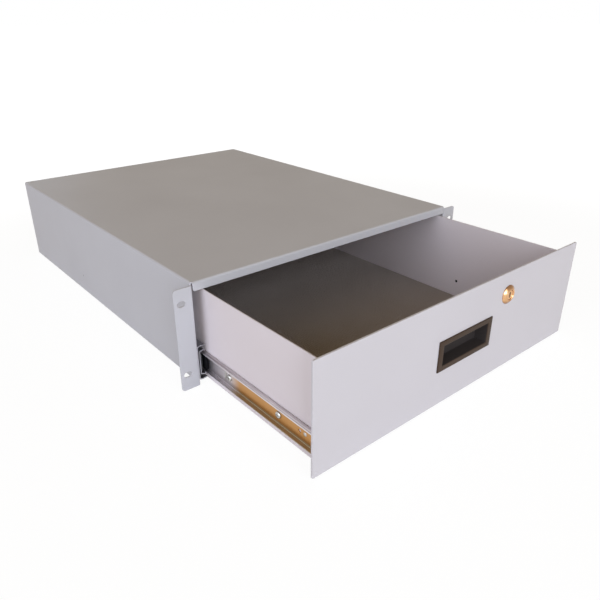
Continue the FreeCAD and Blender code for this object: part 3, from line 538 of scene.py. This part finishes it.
NODE_FINISHES: dict[str, Finish] = {
    "case_cover": CASE_PAINT,
    "back_panel": CASE_PAINT,
    "drawer_tray": TRAY_PAINT_LIT,
    "tray_front_wall": TRAY_PAINT_LIT,
    "tray_rear_wall": TRAY_PAINT_LIT,
    "front_panel": PANEL_PAINT_LIT,
    "panel_fasteners": SCREW_STEEL,
    "drawer_mat": MAT_RUBBER,
    "pull_handle": HANDLE_PLASTIC,
    "lock_housing": LOCK_CHROME_PAINTED_LIGHT,
    "lock_plug": LOCK_CHROME_PAINTED_LIGHT,
    "lock_nut": SCREW_STEEL,
    "lock_cam": SCREW_STEEL,
    "lock_cam_nut": SCREW_STEEL,
}
SIDE_FINISHES: dict[str, Finish] = {
    "case_side": CASE_PAINT,
    "slide_outer": SLIDE_ZINC,
    "slide_middle": SLIDE_ZINC,
    "slide_inner": DRAWER_MEMBER_ZINC,
    "slide_rivets": RIVET_PAINT_SHADE,
    "slide_stop": SLIDE_PLASTIC,
    "slide_bumper": SLIDE_PLASTIC,
    "tray_screws": SCREW_STEEL,
    "outer_cage": CAGE_ZINC,
    "inner_cage": CAGE_ZINC,
    "outer_balls": BALL_STEEL,
    "inner_balls": BALL_STEEL,
}


class Side(Enum):
    """A side of the drawer, as the sign of its X."""

    LEFT = -1
    RIGHT = 1

    def node(self, stem: str) -> str:
        """The name of a node on this side."""
        return f"{stem}_{self.name.lower()}"


class Dresser:
    """Gives CAD nodes and new pieces their materials."""

    def __init__(self) -> None:
        """Builds the shared groups and an empty store of materials."""
        self.groups = ShaderGroups()
        self.made: dict[str, bpy.types.Material] = {}

    def dress(self, piece: Piece, finish: Finish) -> None:
        """Puts a finish on all of a piece."""
        piece.data.materials.clear()
        self.add(piece, finish)

    def add(self, piece: Piece, finish: Finish) -> int:
        """Adds a finish to a piece that may have others.

        Args:
            piece: The object.
            finish: The finish it gets as well.

        Returns:
            The index of the finish's slot on the piece.
        """
        if finish.name not in self.made:
            self.made[finish.name] = finish.material(self.groups)
        piece.data.materials.append(self.made[finish.name])
        return len(piece.data.materials) - 1

    def dress_nodes(self) -> None:
        """Dresses every CAD node."""
        finishes = dict(NODE_FINISHES)
        for stem, finish in SIDE_FINISHES.items():
            for side in Side:
                finishes[side.node(stem)] = finish
        for name, finish in finishes.items():
            self.dress(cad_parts[name], finish)
            LOG.info("dressed %s with %s", name, finish.name)


# ---------------- modelling tools

class Axis(Enum):
    """An axis of the drawer, as its unit vector and the turn of a flat ring that is set square to it."""

    ACROSS = ((1.0, 0.0, 0.0), (0.0, math.pi / 2, 0.0))
    ALONG = ((0.0, 1.0, 0.0), (math.pi / 2, 0.0, 0.0))

    def index(self) -> int:
        """Which part of a point is counted along it."""
        return self.value[0].index(1.0)


class Choice(Enum):
    """What is chosen on a mesh, as Blender calls it."""

    EDGES = "EDGE"
    FACES = "FACE"


class Bench:
    """Modelling steps that the sub-assemblies share, made with Blender's own operators."""

    ALIKE = 0.999
    FACE_REACH = 0.01 * MM
    MERGE_REACH = 0.002 * MM
    BEVEL_ANGLE = math.radians(28)
    SMOOTH_ANGLE = math.radians(32)

    @staticmethod
    def clear() -> None:
        """Deselects every object."""
        bpy.ops.object.select_all(action="DESELECT")

    @staticmethod
    def edit() -> None:
        """Opens the active piece's mesh for editing."""
        bpy.ops.object.mode_set(mode="EDIT")

    @staticmethod
    def leave() -> None:
        """Closes the mesh that is being edited."""
        bpy.ops.object.mode_set(mode="OBJECT")

    @classmethod
    def take(cls, piece: Piece) -> None:
        """Makes a piece the only selected one, and the active one.

        Args:
            piece: The piece.
        """
        cls.clear()
        piece.select_set(True)
        bpy.context.view_layer.objects.active = piece

    @classmethod
    def open_mesh(cls, piece: Piece, choice: Choice) -> None:
        """Takes a piece with nothing of its mesh selected.

        Args:
            piece: The piece.
            choice: What will be chosen on it.
        """
        cls.take(piece)
        cls.edit()
        bpy.ops.mesh.select_mode(type=choice.value)
        bpy.ops.mesh.select_all(action="DESELECT")
        cls.leave()

    @classmethod
    def settle(cls, piece: Piece) -> None:
        """Puts a piece's place, turn and scale into its mesh."""
        cls.take(piece)
        bpy.ops.object.transform_apply(location=True, rotation=True, scale=True)

    @classmethod
    def block(cls, name: str, low: Vector, high: Vector) -> Piece:
        """Starts a piece as a block between two corners.

        Args:
            name: The piece's name.
            low: Its lowest corner.
            high: Its highest corner.

        Returns:
            The block, with its size and place in its mesh.
        """
        cls.clear()
        bpy.ops.mesh.primitive_cube_add(size=1.0, location=(Vector(low) + Vector(high)) / 2)
        piece = bpy.context.object
        piece.name = name
        piece.scale = Vector(high) - Vector(low)
        cls.settle(piece)
        return piece

    @classmethod
    def pick_faces(cls, piece: Piece, facing: Vector) -> None:
        """Goes into edit mode with the outermost faces of one direction selected.

        Args:
            piece: The piece to edit.
            facing: The direction that the faces look in.
        """
        cls.open_mesh(piece, Choice.FACES)
        alike = [face for face in piece.data.polygons if face.normal.dot(facing) > cls.ALIKE]
        limit = max(face.center.dot(facing) for face in alike) - cls.FACE_REACH
        for face in alike:
            face.select = face.center.dot(facing) >= limit
        cls.edit()

    @staticmethod
    def step(move: Vector, stretch: Vector, about: Vector) -> None:
        """Extrudes the selection, moves it and scales it.

        Args:
            move: How far the extrusion goes.
            stretch: Its scale along each axis.
            about: The point that it is scaled about.
        """
        bpy.ops.mesh.extrude_region_move(TRANSFORM_OT_translate={"value": tuple(move)})
        bpy.ops.transform.resize(value=tuple(stretch), center_override=tuple(about))

    @classmethod
    def bevel_edges(cls, piece: Piece, wanted: Callable[[Vector, Vector], bool], width: float,
                    segments: int) -> None:
        """Bevels chosen edges of a piece.

        Args:
            piece: The piece.
            wanted: Tells from the two ends of an edge whether it is bevelled.
            width: The width of the bevel.
            segments: How many faces make it up.
        """
        cls.open_mesh(piece, Choice.EDGES)
        points = piece.data.vertices
        for edge in piece.data.edges:
            first, second = edge.vertices
            edge.select = wanted(points[first].co, points[second].co)
        cls.edit()
        bpy.ops.mesh.bevel(offset=width, segments=segments)
        cls.leave()

    @classmethod
    def round_edges(cls, piece: Piece, width: float, segments: int = 3) -> None:
        """Rounds the sharp edges of a piece with an applied bevel.

        Args:
            piece: The piece.
            width: The width of the rounding.
            segments: How many faces make it up.
        """
        cls.apply(piece, "BEVEL", width=width, segments=segments, limit_method="ANGLE",
                  angle_limit=cls.BEVEL_ANGLE)

    @classmethod
    def apply(cls, piece: Piece, kind: str, **settings: object) -> None:
        """Adds a modifier and applies it.

        Args:
            piece: The piece.
            kind: The modifier's type.
            **settings: Its settings by name.
        """
        cls.take(piece)
        modifier = piece.modifiers.new(kind.lower(), kind)
        for label, value in settings.items():
            setattr(modifier, label, value)
        bpy.ops.object.modifier_apply(modifier=modifier.name)

    @classmethod
    def carve(cls, piece: Piece, cutter: Piece) -> None:
        """Cuts one piece out of another and removes the cutter."""
        cls.apply(piece, "BOOLEAN", operation="DIFFERENCE", object=cutter, solver="EXACT")
        bpy.data.objects.remove(cutter)

    @classmethod
    def join(cls, name: str, members: list[Piece]) -> Piece:
        """Joins pieces into the first of them.

        Args:
            name: The joined piece's name.
            members: The pieces.

        Returns:
            The joined piece.
        """
        cls.take(members[0])
        for member in members:
            member.select_set(True)
        bpy.ops.object.join()
        members[0].name = name
        return members[0]

    @classmethod
    def turn(cls, name: str, axis: Axis, centre: Vector, profile: list[tuple[float, float]],
             sides: int, closed: bool = False) -> Piece:
        """Turns a profile about an axis, ring by ring.

        Args:
            name: The piece's name.
            axis: The axis.
            centre: The point on it that distances are counted from.
            profile: Radius and distance along the axis of each ring, in order.
            sides: How many sides a ring has.
            closed: Whether the last ring joins the first, for a piece with a bore.

        Returns:
            The turned piece.
        """
        heading, attitude = Vector(axis.value[0]), axis.value[1]
        cls.clear()
        radius, distance = profile[0]
        bpy.ops.mesh.primitive_circle_add(vertices=sides, radius=radius, fill_type="NOTHING",
                                          location=heading * distance, rotation=attitude)
        piece = bpy.context.object
        piece.name = name
        cls.settle(piece)
        cls.edit()
        bpy.ops.mesh.select_all(action="SELECT")
        if not closed:
            bpy.ops.mesh.edge_face_add()
            bpy.ops.mesh.select_all(action="SELECT")
        rings = profile[1:] + ([profile[0]] if closed else [])
        for next_radius, next_distance in rings:
            ratio = next_radius / radius
            stretch = Vector([ratio if share == 0 else 1.0 for share in heading])
            cls.step(heading * (next_distance - distance), stretch, Vector())
            radius, distance = next_radius, next_distance
        bpy.ops.mesh.select_all(action="SELECT")
        bpy.ops.mesh.remove_doubles(threshold=cls.MERGE_REACH)
        bpy.ops.mesh.normals_make_consistent(inside=False)
        cls.leave()
        piece.location = centre
        cls.settle(piece)
        return piece

    @classmethod
    def smooth(cls, piece: Piece) -> None:
        """Shades a piece smooth, apart from its sharp edges."""
        cls.take(piece)
        bpy.ops.object.shade_smooth_by_angle(angle=cls.SMOOTH_ANGLE)


# ---------------- sub-assemblies

@dataclass
class SubAssembly:
    """What every sub-assembly does with its pieces once they are modelled."""

    dresser: Dresser

    def hand_over(self, piece: Piece, finish: Finish, body: str, slot: str, *nodes: str) -> None:
        """Finishes, dresses and mounts a piece.

        Args:
            piece: The modelled piece.
            finish: Its finish.
            body: The CAD body that it rides on.
            slot: The record's material slot; not used.
            *nodes: CAD nodes that it stands for.
        """
        Bench.smooth(piece)
        self.dresser.dress(piece, finish)
        if nodes:
            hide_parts(*nodes)
        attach(piece, body)
        LOG.info("built %s with %d faces", piece.name, len(piece.data.polygons))


@dataclass
class RibbedMat(SubAssembly):
    """Rubber mat with fine ribs along and across."""

    rib_pitch: float = 3.2 * MM
    rib_width: float = 1.7 * MM
    rib_height: float = 0.5 * MM
    rib_overlap: float = 0.12 * MM
    cross_drop: float = 0.15 * MM
    corner: float = 4.0 * MM
    taper: float = 0.6

    def build(self) -> None:
        """Builds the mat in the place of its CAD solid."""
        low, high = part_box("drawer_mat")
        sheet_top = high.z - self.rib_height
        sheet = Bench.block("mat_sheet", low, Vector((high.x, high.y, sheet_top)))
        Bench.bevel_edges(sheet, self._is_upright, self.corner, segments=5)
        start = Vector((low.x + self.corner, low.y + self.corner, sheet_top - self.rib_overlap))
        end = Vector((high.x - self.corner, high.y - self.corner, high.z))
        drop = Vector((0.0, 0.0, self.cross_drop))
        along = self._make_ribs("mat_ribs_along", start, end, Axis.ACROSS)
        across = self._make_ribs("mat_ribs_across", start, end - drop, Axis.ALONG)
        mat = Bench.join("ribbed_mat", [sheet, along, across])
        self.hand_over(mat, MAT_RUBBER, "drawer", "mat_rubber", "drawer_mat")

    @staticmethod
    def _is_upright(first: Vector, second: Vector) -> bool:
        """Whether an edge between two points stands upright."""
        return abs(first.z - second.z) > (first.xy - second.xy).length

    def _make_ribs(self, name: str, start: Vector, end: Vector, axis: Axis) -> Piece:
        """Builds one set of parallel ribs.

        Args:
            name: The piece's name.
            start: The lowest corner of the set.
            end: Its highest corner.
            axis: The axis that the set repeats along.

        Returns:
            The ribs as one piece.
        """
        index = axis.index()
        span = end[index] - start[index]
        far = end.copy()
        far[index] = start[index] + self.rib_width
        rib = Bench.block(name, start, far)
        Bench.pick_faces(rib, Vector((0.0, 0.0, 1.0)))
        narrow = [1.0, 1.0, 1.0]
        narrow[index] = self.taper
        bpy.ops.transform.resize(value=narrow, center_override=tuple((start + far) / 2))
        Bench.leave()
        step = [0.0, 0.0, 0.0]
        step[index] = self.rib_pitch
        Bench.apply(rib, "ARRAY", count=int(span / self.rib_pitch), use_relative_offset=False,
                    use_constant_offset=True, constant_offset_displace=step)
        return rib


@dataclass
class FlushPull(SubAssembly):
    """Moulded flush pull: a bevelled frame round a drafted finger recess."""

    face: float = 1.8 * MM
    rim_bevel: float = 0.9 * MM
    edge: float = 0.35 * MM
    tolerance: float = 0.035 * MM
    mouth_width: float = 79.0 * MM
    mouth_height: float = 24.5 * MM
    wall: float = 1.8 * MM
    draft: float = 0.965
    step_depth: float = 0.7 * MM
    step_width: float = 0.8 * MM

    def build(self) -> None:
        """Builds the pull in the place of its CAD solid."""
        low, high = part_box("pull_handle")
        middle = (low + high) / 2
        back = low.y + self.face
        pull = Bench.block("moulded_pull", low, Vector((high.x, back, high.z)))
        size = high - low
        Bench.pick_faces(pull, Vector((0.0, 1.0, 0.0)))
        Bench.step(Vector(), self._share(size, self.wall), middle)
        Bench.step(Vector((0.0, high.y - back, 0.0)), self._drafted(), middle)
        Bench.leave()
        self._sink_mouth(pull, size, middle, high.y - low.y - self.wall)
        Bench.bevel_edges(
            pull, lambda *ends: all(self._at_rim(end, low, high) for end in ends),
            self.rim_bevel, segments=3)
        Bench.round_edges(pull, self.edge)
        self.hand_over(pull, HANDLE_PLASTIC, "drawer", "handle_plastic", "pull_handle")
        self._paint_recess_shade(pull, middle, low.y + self.step_depth)

    def _share(self, size: Vector, border: float) -> Vector:
        """Gives the mouth's share of a larger outline.

        Args:
            size: The size of the outline.
            border: A border that counts with the mouth.

        Returns:
            The share along each axis.
        """
        return Vector(((self.mouth_width + 2 * border) / size.x, 1.0,
                       (self.mouth_height + 2 * border) / size.z))

    def _drafted(self) -> Vector:
        """The scale of a wall's far end, which its draft makes narrower."""
        return Vector((self.draft, 1.0, self.draft))

    def _sink_mouth(self, pull: Piece, size: Vector, middle: Vector, depth: float) -> None:
        """Sinks the finger recess, with a shallow step round its mouth.

        Args:
            pull: The pull.
            size: Its overall size.
            middle: Its middle.
            depth: How deep the recess is.
        """
        border = 2 * self.step_width
        stepped = Vector((self.mouth_width + border, size.y, self.mouth_height + border))
        Bench.pick_faces(pull, Vector((0.0, -1.0, 0.0)))
        Bench.step(Vector(), self._share(size, self.step_width), middle)
        Bench.step(Vector((0.0, self.step_depth, 0.0)), self._share(stepped, 0.0), middle)
        Bench.step(Vector((0.0, depth - self.step_depth, 0.0)), self._drafted(), middle)
        Bench.leave()

    def _at_rim(self, point: Vector, low: Vector, high: Vector) -> bool:
        """Whether a point lies on the outline of the frame's front.

        Args:
            point: The point.
            low: The pull's lowest corner.
            high: The pull's highest corner.

        Returns:
            Whether it does.
        """
        aside = min(abs(point.x - low.x), abs(point.x - high.x))
        upright = min(abs(point.z - low.z), abs(point.z - high.z))
        return abs(point.y - low.y) < self.tolerance and min(aside, upright) < self.tolerance

    def _paint_recess_shade(self, pull: Piece, middle: Vector, depth: float) -> None:
        """Gives the inside of the recess its coarser finish, darker as painted shade.

        Args:
            pull: The pull.
            middle: The pull's middle.
            depth: The level behind which the inside starts.
        """
        index = self.dresser.add(pull, PULL_RECESS_SHADE)
        for face in pull.data.polygons:
            across = abs(face.center.x - middle.x) <= self.mouth_width / 2 + self.edge
            upward = abs(face.center.z - middle.z) <= self.mouth_height / 2 + self.edge
            if across and upward and face.center.y > depth:
                face.material_index = index


@dataclass
class CamLock(SubAssembly):
    """Cam lock: a plated conical bezel on a threaded barrel, and a plug with a keyway."""

    rim: float = 11.5 * MM
    rim_height: float = 1.2 * MM
    height: float = 3.6 * MM
    nose: float = 8.0 * MM
    bore: float = 6.0 * MM
    barrel: float = 9.5 * MM
    barrel_length: float = 7.2 * MM
    thread_start: float = 3.3 * MM
    thread_pitch: float = 1.0 * MM
    thread_depth: float = 0.4 * MM
    rounding: float = 0.35 * MM
    plug_fit: float = 0.08 * MM
    plug_recess: float = 0.8 * MM
    plug_dish: float = 0.875 * MM
    key_width: float = 2.4 * MM
    key_height: float = 7.0 * MM
    key_depth: float = 5.0 * MM
    key_lead: float = 1.0 * MM
    key_round: float = 0.8 * MM
    wafer_fit: float = 0.98
    wafer_round: float = 0.4 * MM
    stem: float = 3.5 * MM
    cam_gap: float = 0.3 * MM
    bezel_sides: int = 64
    plug_sides: int = 48

    def build(self) -> None:
        """Builds the bezel and the plug in the places of their CAD solids, and the keyway's wafer."""
        low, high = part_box("lock_housing")
        face = Vector(((low.x + high.x) / 2, low.y + self.height, (low.z + high.z) / 2))
        bezel = self._make_bezel(face)
        self.hand_over(bezel, LOCK_CHROME_PAINTED_LIGHT, "drawer", "lock_chrome", "lock_housing")
        plug = self._make_plug(face)
        self.hand_over(plug, LOCK_CHROME_PAINTED_LIGHT, "lock_core", "lock_chrome", "lock_plug")
        self.hand_over(self._make_wafer(face), KEYWAY_SHADE, "lock_core", "lock_chrome")

    def _make_bezel(self, face: Vector) -> Piece:
        """Builds the housing, with its rounded cone in front and its thread behind.

        Args:
            face: The lock's axis at the front of the panel.

        Returns:
            The housing.
        """
        soft = self.rounding
        profile = [
            (self.bore, self.barrel_length),
            (self.bore, -self.height + soft),
            (self.bore + soft, -self.height),
            (self.nose - soft, -self.height),
            (self.nose + soft / 2, -self.height + soft / 2),
            (self.rim - soft, -self.rim_height - soft / 2),
            (self.rim, -self.rim_height + soft / 2),
            (self.rim, 0.0),
            (self.barrel, 0.0),
            (self.barrel, self.thread_start),
        ]
        root = self.barrel - self.thread_depth
        turns = int((self.barrel_length - self.thread_start) / self.thread_pitch)
        for turn in range(turns):
            start = self.thread_start + turn * self.thread_pitch
            profile.append((root, start + self.thread_pitch / 2))
            profile.append((self.barrel, start + self.thread_pitch))
        profile.append((root, self.barrel_length))
        return Bench.turn("lock_bezel", Axis.ALONG, face, profile, self.bezel_sides, closed=True)

    def _plug_front(self) -> float:
        """Where the plug's face lies, counted from the front of the panel."""
        return self.plug_recess - self.height

    def _key_reach(self) -> Vector:
        """Half the size of the keyway's mouth."""
        return Vector((self.key_width / 2, 0.0, self.key_height / 2))

    def _make_plug(self, face: Vector) -> Piece:
        """Builds the plug, with its keyway cut in.

        Args:
            face: The lock's axis at the front of the panel.

        Returns:
            The plug.
        """
        radius = self.bore - self.plug_fit
        front = self._plug_front()
        shoulder = self.barrel_length + self.cam_gap
        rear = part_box("lock_plug")[1].y - face.y
        profile = [
            (radius - self.plug_dish, front + self.rounding / 2),
            (radius - 2 * self.rounding, front),
            (radius - self.rounding, front),
            (radius, front + self.rounding),
            (radius, shoulder),
            (self.stem, shoulder),
            (self.stem, rear - self.rounding),
            (self.stem - self.rounding, rear),
        ]
        plug = Bench.turn("lock_barrel_plug", Axis.ALONG, face, profile, self.plug_sides)
        mouth = face + Vector((0.0, front, 0.0))
        keyway = Bench.block("keyway", mouth - self._key_reach() - Vector((0.0, self.key_lead, 0.0)),
                             mouth + self._key_reach() + Vector((0.0, self.key_depth, 0.0)))
        Bench.round_edges(keyway, self.key_round, segments=2)
        Bench.carve(plug, keyway)
        return plug

    def _make_wafer(self, face: Vector) -> Piece:
        """Builds the wafer that fills the middle third of the keyway's depth, dark as painted shade.

        Args:
            face: The lock's axis at the front of the panel.

        Returns:
            The wafer.
        """
        reach = self._key_reach() * self.wafer_fit
        third = Vector((0.0, self.key_depth / 3, 0.0))
        near = face + Vector((0.0, self._plug_front(), 0.0)) + third
        wafer = Bench.block("lock_wafer", near - reach, near + reach + third)
        Bench.round_edges(wafer, self.wafer_round, segments=2)
        return wafer


@dataclass
class SlideHardware(SubAssembly):
    """What a drawer member carries: cross-head screws, their tips, a pressed tab, a dimple and a latch."""

    side: Side
    front: float = field(init=False)
    level: float = field(init=False)
    wall: float = field(init=False)
    member_sheet: float = 1.2 * MM
    screws: tuple[float, ...] = (65.0 * MM, 153.0 * MM, 420.0 * MM)
    head_radius: float = 4.0 * MM
    head_height: float = 2.2 * MM
    head_dome: tuple[tuple[float, float], ...] = ((0.45, 1.0), (0.72, 0.93), (0.9, 0.72), (1.0, 0.35))
    head_sides: int = 32
    shank: float = 2.0 * MM
    shank_length: float = 2.28 * MM
    recess_reach: float = 2.3 * MM
    recess_width: float = 0.9 * MM
    recess_depth: float = 1.2 * MM
    tip_radius: float = 2.0 * MM
    tip_end_radius: float = 1.5 * MM
    tip_length: float = 0.4 * MM
    small_sides: int = 24
    tab_station: float = 161.0 * MM
    tab_width: float = 2.2 * MM
    tab_height: float = 11.0 * MM
    tab_rise: float = 0.6 * MM
    tab_round: float = 0.2 * MM
    dimple_station: float = 24.0 * MM
    dimple_radius: float = 2.4 * MM
    dimple_rise: float = 0.5 * MM
    dimple_dome: tuple[tuple[float, float], ...] = ((0.4, 1.0), (0.75, 0.8), (1.0, 0.0))
    latch_station: float = 196.5 * MM
    latch_length: float = 40.0 * MM
    latch_height: float = 19.0 * MM
    latch_thickness: float = 4.0 * MM
    latch_round: float = 0.9 * MM

    def __post_init__(self) -> None:
        """Finds the front and the middle level of the drawer member, and the tray's wall."""
        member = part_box(self.side.node("slide_inner"))
        self.front = member[0].y
        self.level = (member[0].z + member[1].z) / 2
        self.wall = abs(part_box("drawer_tray")[0].x)

    def build(self) -> None:
        """Builds the hardware of one side."""
        screws = [self._make_screw(station) for station in self.screws]
        joined = Bench.join(self.side.node("cross_head_screws"), screws)
        self.hand_over(joined, SCREW_STEEL, "drawer", "screw_steel", self.side.node("tray_screws"))
        # The screw tips are dark, as painted shade.
        tips = [self._make_tip(station) for station in self.screws]
        joined = Bench.join(self.side.node("screw_tips"), tips)
        self.hand_over(joined, SCREW_TIP_SHADE, "drawer", "screw_steel")
        self.hand_over(self._make_tab(), SCREW_STEEL, "drawer", "slide_steel")
        self.hand_over(self._make_dimple(), SCREW_STEEL, "drawer", "slide_steel")
        self.hand_over(self._make_latch(), LATCH_PLASTIC, "drawer", "slide_plastic")

    def _at(self, across: float, station: float) -> Vector:
        """Gives a point of this side, at the level of the member's middle.

        Args:
            across: Its distance from the middle of the drawer.
            station: Its distance from the front of the slide.

        Returns:
            The point.
        """
        return Vector((self.side.value * across, self.front + station, self.level))

    def _seat(self) -> float:
        """How far from the drawer's middle the member's open face lies."""
        return self.wall + self.member_sheet

    def _make_screw(self, station: float) -> Piece:
        """Builds one pan-head screw with a cross recess.

        Args:
            station: Its distance from the front of the slide.

        Returns:
            The screw.
        """
        sign = self.side.value
        profile = [(self.head_radius * width, sign * self.head_height * rise)
                   for width, rise in self.head_dome]
        profile += [
            (self.head_radius, 0.0),
            (self.shank, 0.0),
            (self.shank, -sign * self.shank_length),
        ]
        screw = Bench.turn("screw", Axis.ACROSS, self._at(self._seat(), station), profile, self.head_sides)
        top = self._at(self._seat() + self.head_height, station)
        for long_way in (Vector((0.0, 1.0, 0.0)), Vector((0.0, 0.0, 1.0))):
            short_way = Vector((0.0, 1.0, 1.0)) - long_way
            reach = long_way * self.recess_reach + short_way * self.recess_width / 2
            reach.x = self.recess_depth
            Bench.carve(screw, Bench.block("cross", top - reach, top + reach))
        return screw

    def _make_tip(self, station: float) -> Piece:
        """Builds the end of a screw that shows on the inside of the tray's wall.

        Args:
            station: Its distance from the front of the slide.

        Returns:
            The tip.
        """
        sign = self.side.value
        profile = [
            (self.tip_radius, sign * self.tip_length / 2),
            (self.tip_radius, 0.0),
            (self.tip_end_radius, -sign * self.tip_length),
        ]
        inside = self._at(self.wall - self.member_sheet, station)
        return Bench.turn("tip", Axis.ACROSS, inside, profile, self.small_sides)

    def _make_tab(self) -> Piece:
        """Builds the upright tab pressed out of the member.

        Returns:
            The tab.
        """
        middle = self._at(self._seat() + self.tab_rise / 2, self.tab_station)
        reach = Vector((self.tab_rise, self.tab_width, self.tab_height)) / 2
        tab = Bench.block(self.side.node("pressed_tab"), middle - reach, middle + reach)
        Bench.round_edges(tab, self.tab_round, segments=2)
        return tab

    def _make_latch(self) -> Piece:
        """Builds the moulded latch that lies in the member's channel.

        Returns:
            The latch.
        """
        middle = self._at(self._seat() + self.latch_thickness / 2, self.latch_station + self.latch_length / 2)
        reach = Vector((self.latch_thickness, self.latch_length, self.latch_height)) / 2
        latch = Bench.block(self.side.node("moulded_latch"), middle - reach, middle + reach)
        Bench.round_edges(latch, self.latch_round)
        return latch

    def _make_dimple(self) -> Piece:
        """Builds the round dimple pressed into the member near its front.

        Returns:
            The dimple.
        """
        profile = [(self.dimple_radius * width, self.side.value * self.dimple_rise * rise)
                   for width, rise in self.dimple_dome]
        return Bench.turn(self.side.node("pressed_dimple"), Axis.ACROSS,
                          self._at(self._seat(), self.dimple_station), profile, self.small_sides)


# ---------------- studio

@dataclass(frozen=True)
class Lamp:
    """A soft area lamp that points at the origin."""

    name: str
    place: Triple
    size: float
    watts: float
    colour: Colour


@dataclass
class Studio:
    """Pale floor, soft lamps, plain world and the camera."""

    floor_size: float = 60.0
    floor_gap: float = 0.2 * MM
    floor_colour: Colour = (0.8, 0.8, 0.8)
    near_glow: float = 0.88
    far_glow: float = 1.0
    glow_strength: float = 1.06
    clear_from: float = 0.6
    clear_to: float = 1.3
    world_colour: Colour = (0.276, 0.2, 0.092)
    seen_colour: Colour = (1.0, 1.0, 1.0)
    eye: Triple = (-0.49894, -0.52078, 0.32402)
    gaze: Triple = (0.577, 0.6918, -0.4342)
    lens: float = 35.33
    sensor: float = 36.0
    roll: float = -0.0034
    lamps: tuple[Lamp, ...] = (
        Lamp("front_softbox", (-0.7, -3.2, 1.0), size=2.4, watts=98.0, colour=(0.765, 0.862, 1.0)),
        Lamp("left_softbox", (-2.8, -0.5, 0.9), size=2.0, watts=45.0, colour=(0.715, 0.81, 1.0)),
        Lamp("right_softbox", (3.2, 0.6, -0.15), size=1.2, watts=60.0, colour=(0.66, 0.78, 1.0)),
        Lamp("rear_softbox", (0.3, 3.8, -0.25), size=1.2, watts=60.0, colour=(0.66, 0.78, 1.0)),
    )

    def build(self) -> None:
        """Builds the whole studio."""
        self._make_floor()
        self._make_world()
        for lamp in self.lamps:
            self._make_lamp(lamp)
        self._make_camera()
        bpy.context.scene.view_settings.view_transform = "Standard"
        LOG.info("studio ready with %d lamps", len(self.lamps))

    def _make_floor(self) -> None:
        """Builds a pale floor under the object, which keeps the shadow and turns white to the camera."""
        bpy.ops.object.select_all(action="DESELECT")
        level = CAD_BOX[0][2] - self.floor_gap
        bpy.ops.mesh.primitive_plane_add(size=self.floor_size, location=(0.0, 0.0, level))
        floor = bpy.context.object
        floor.name = "studio_floor"
        made = bpy.data.materials.new("studio_floor")
        made.use_nodes = True
        nodes = made.node_tree.nodes
        nodes.remove(nodes["Principled BSDF"])
        wiring = Wiring(made.node_tree)
        matt = wiring.add("BsdfDiffuse", {"Color": self.floor_colour}).outputs["BSDF"]
        glow = wiring.add("Emission", {"Strength": self.glow_strength}).outputs["Emission"]
        away = wiring.add("VectorMath", {0: wiring.place()}, operation="LENGTH").outputs["Value"]
        clear = wiring.ramp(away, self.clear_from, self.clear_to, self.near_glow, self.far_glow)
        seen = wiring.product(self._seen_directly(wiring), clear)
        mix = wiring.add("MixShader", {"Fac": seen, 1: matt, 2: glow})
        wiring.feed(nodes["Material Output"], {"Surface": mix.outputs["Shader"]})
        floor.data.materials.append(made)

    @staticmethod
    def _seen_directly(wiring: Wiring) -> Socket:
        """Masks the rays that see the surroundings: the camera's, and those through gloss and glass.

        Args:
            wiring: The wiring of the floor's material or of the world.

        Returns:
            The mask.
        """
        path = wiring.add("LightPath").outputs
        total = path["Is Camera Ray"]
        for label in ("Is Glossy Ray", "Is Transmission Ray"):
            total = wiring.reckon("MAXIMUM", total, path[label])
        return total

    def _make_world(self) -> None:
        """Builds a plain world: white to the camera and in gloss, and warm as a light."""
        world = bpy.data.worlds.new("studio_world")
        bpy.context.scene.world = world
        world.use_nodes = True
        nodes = world.node_tree.nodes
        wiring = Wiring(world.node_tree)
        wiring.feed(nodes["Background"], {"Color": self.world_colour})
        bright = wiring.add("Background", {"Color": self.seen_colour})
        mix = wiring.add("MixShader", {
            "Fac": self._seen_directly(wiring),
            1: nodes["Background"].outputs["Background"],
            2: bright.outputs["Background"],
        })
        wiring.feed(nodes["World Output"], {"Surface": mix.outputs["Shader"]})

    @staticmethod
    def _make_lamp(lamp: Lamp) -> None:
        """Adds one area lamp aimed at the origin.

        Args:
            lamp: The lamp's place, size and strength.
        """
        light = bpy.data.lights.new(lamp.name, "AREA")
        light.size = lamp.size
        light.energy = lamp.watts
        light.color = lamp.colour
        stand = bpy.data.objects.new(lamp.name, light)
        bpy.context.scene.collection.objects.link(stand)
        stand.location = lamp.place
        stand.rotation_euler = (-Vector(lamp.place)).to_track_quat("-Z", "Y").to_euler()

    def _make_camera(self) -> None:
        """Places the camera at the viewing angle, with its slight roll."""
        camera = bpy.data.cameras.new("camera")
        camera.lens = self.lens
        camera.sensor_width = self.sensor
        stand = bpy.data.objects.new("camera", camera)
        bpy.context.scene.collection.objects.link(stand)
        stand.location = self.eye
        level = Vector(self.gaze).to_track_quat("-Z", "Y")
        stand.rotation_euler = (level @ Quaternion((0.0, 0.0, 1.0), self.roll)).to_euler()
        bpy.context.scene.camera = stand


def main() -> None:
    """Builds the studio and dresses the drawer."""
    logging.basicConfig(level=logging.INFO, format="%(name)s: %(message)s")
    Studio().build()
    dresser = Dresser()
    dresser.dress_nodes()
    RibbedMat(dresser).build()
    FlushPull(dresser).build()
    CamLock(dresser).build()
    for side in Side:
        SlideHardware(dresser, side).build()


if __name__ == "__main__":
    main()
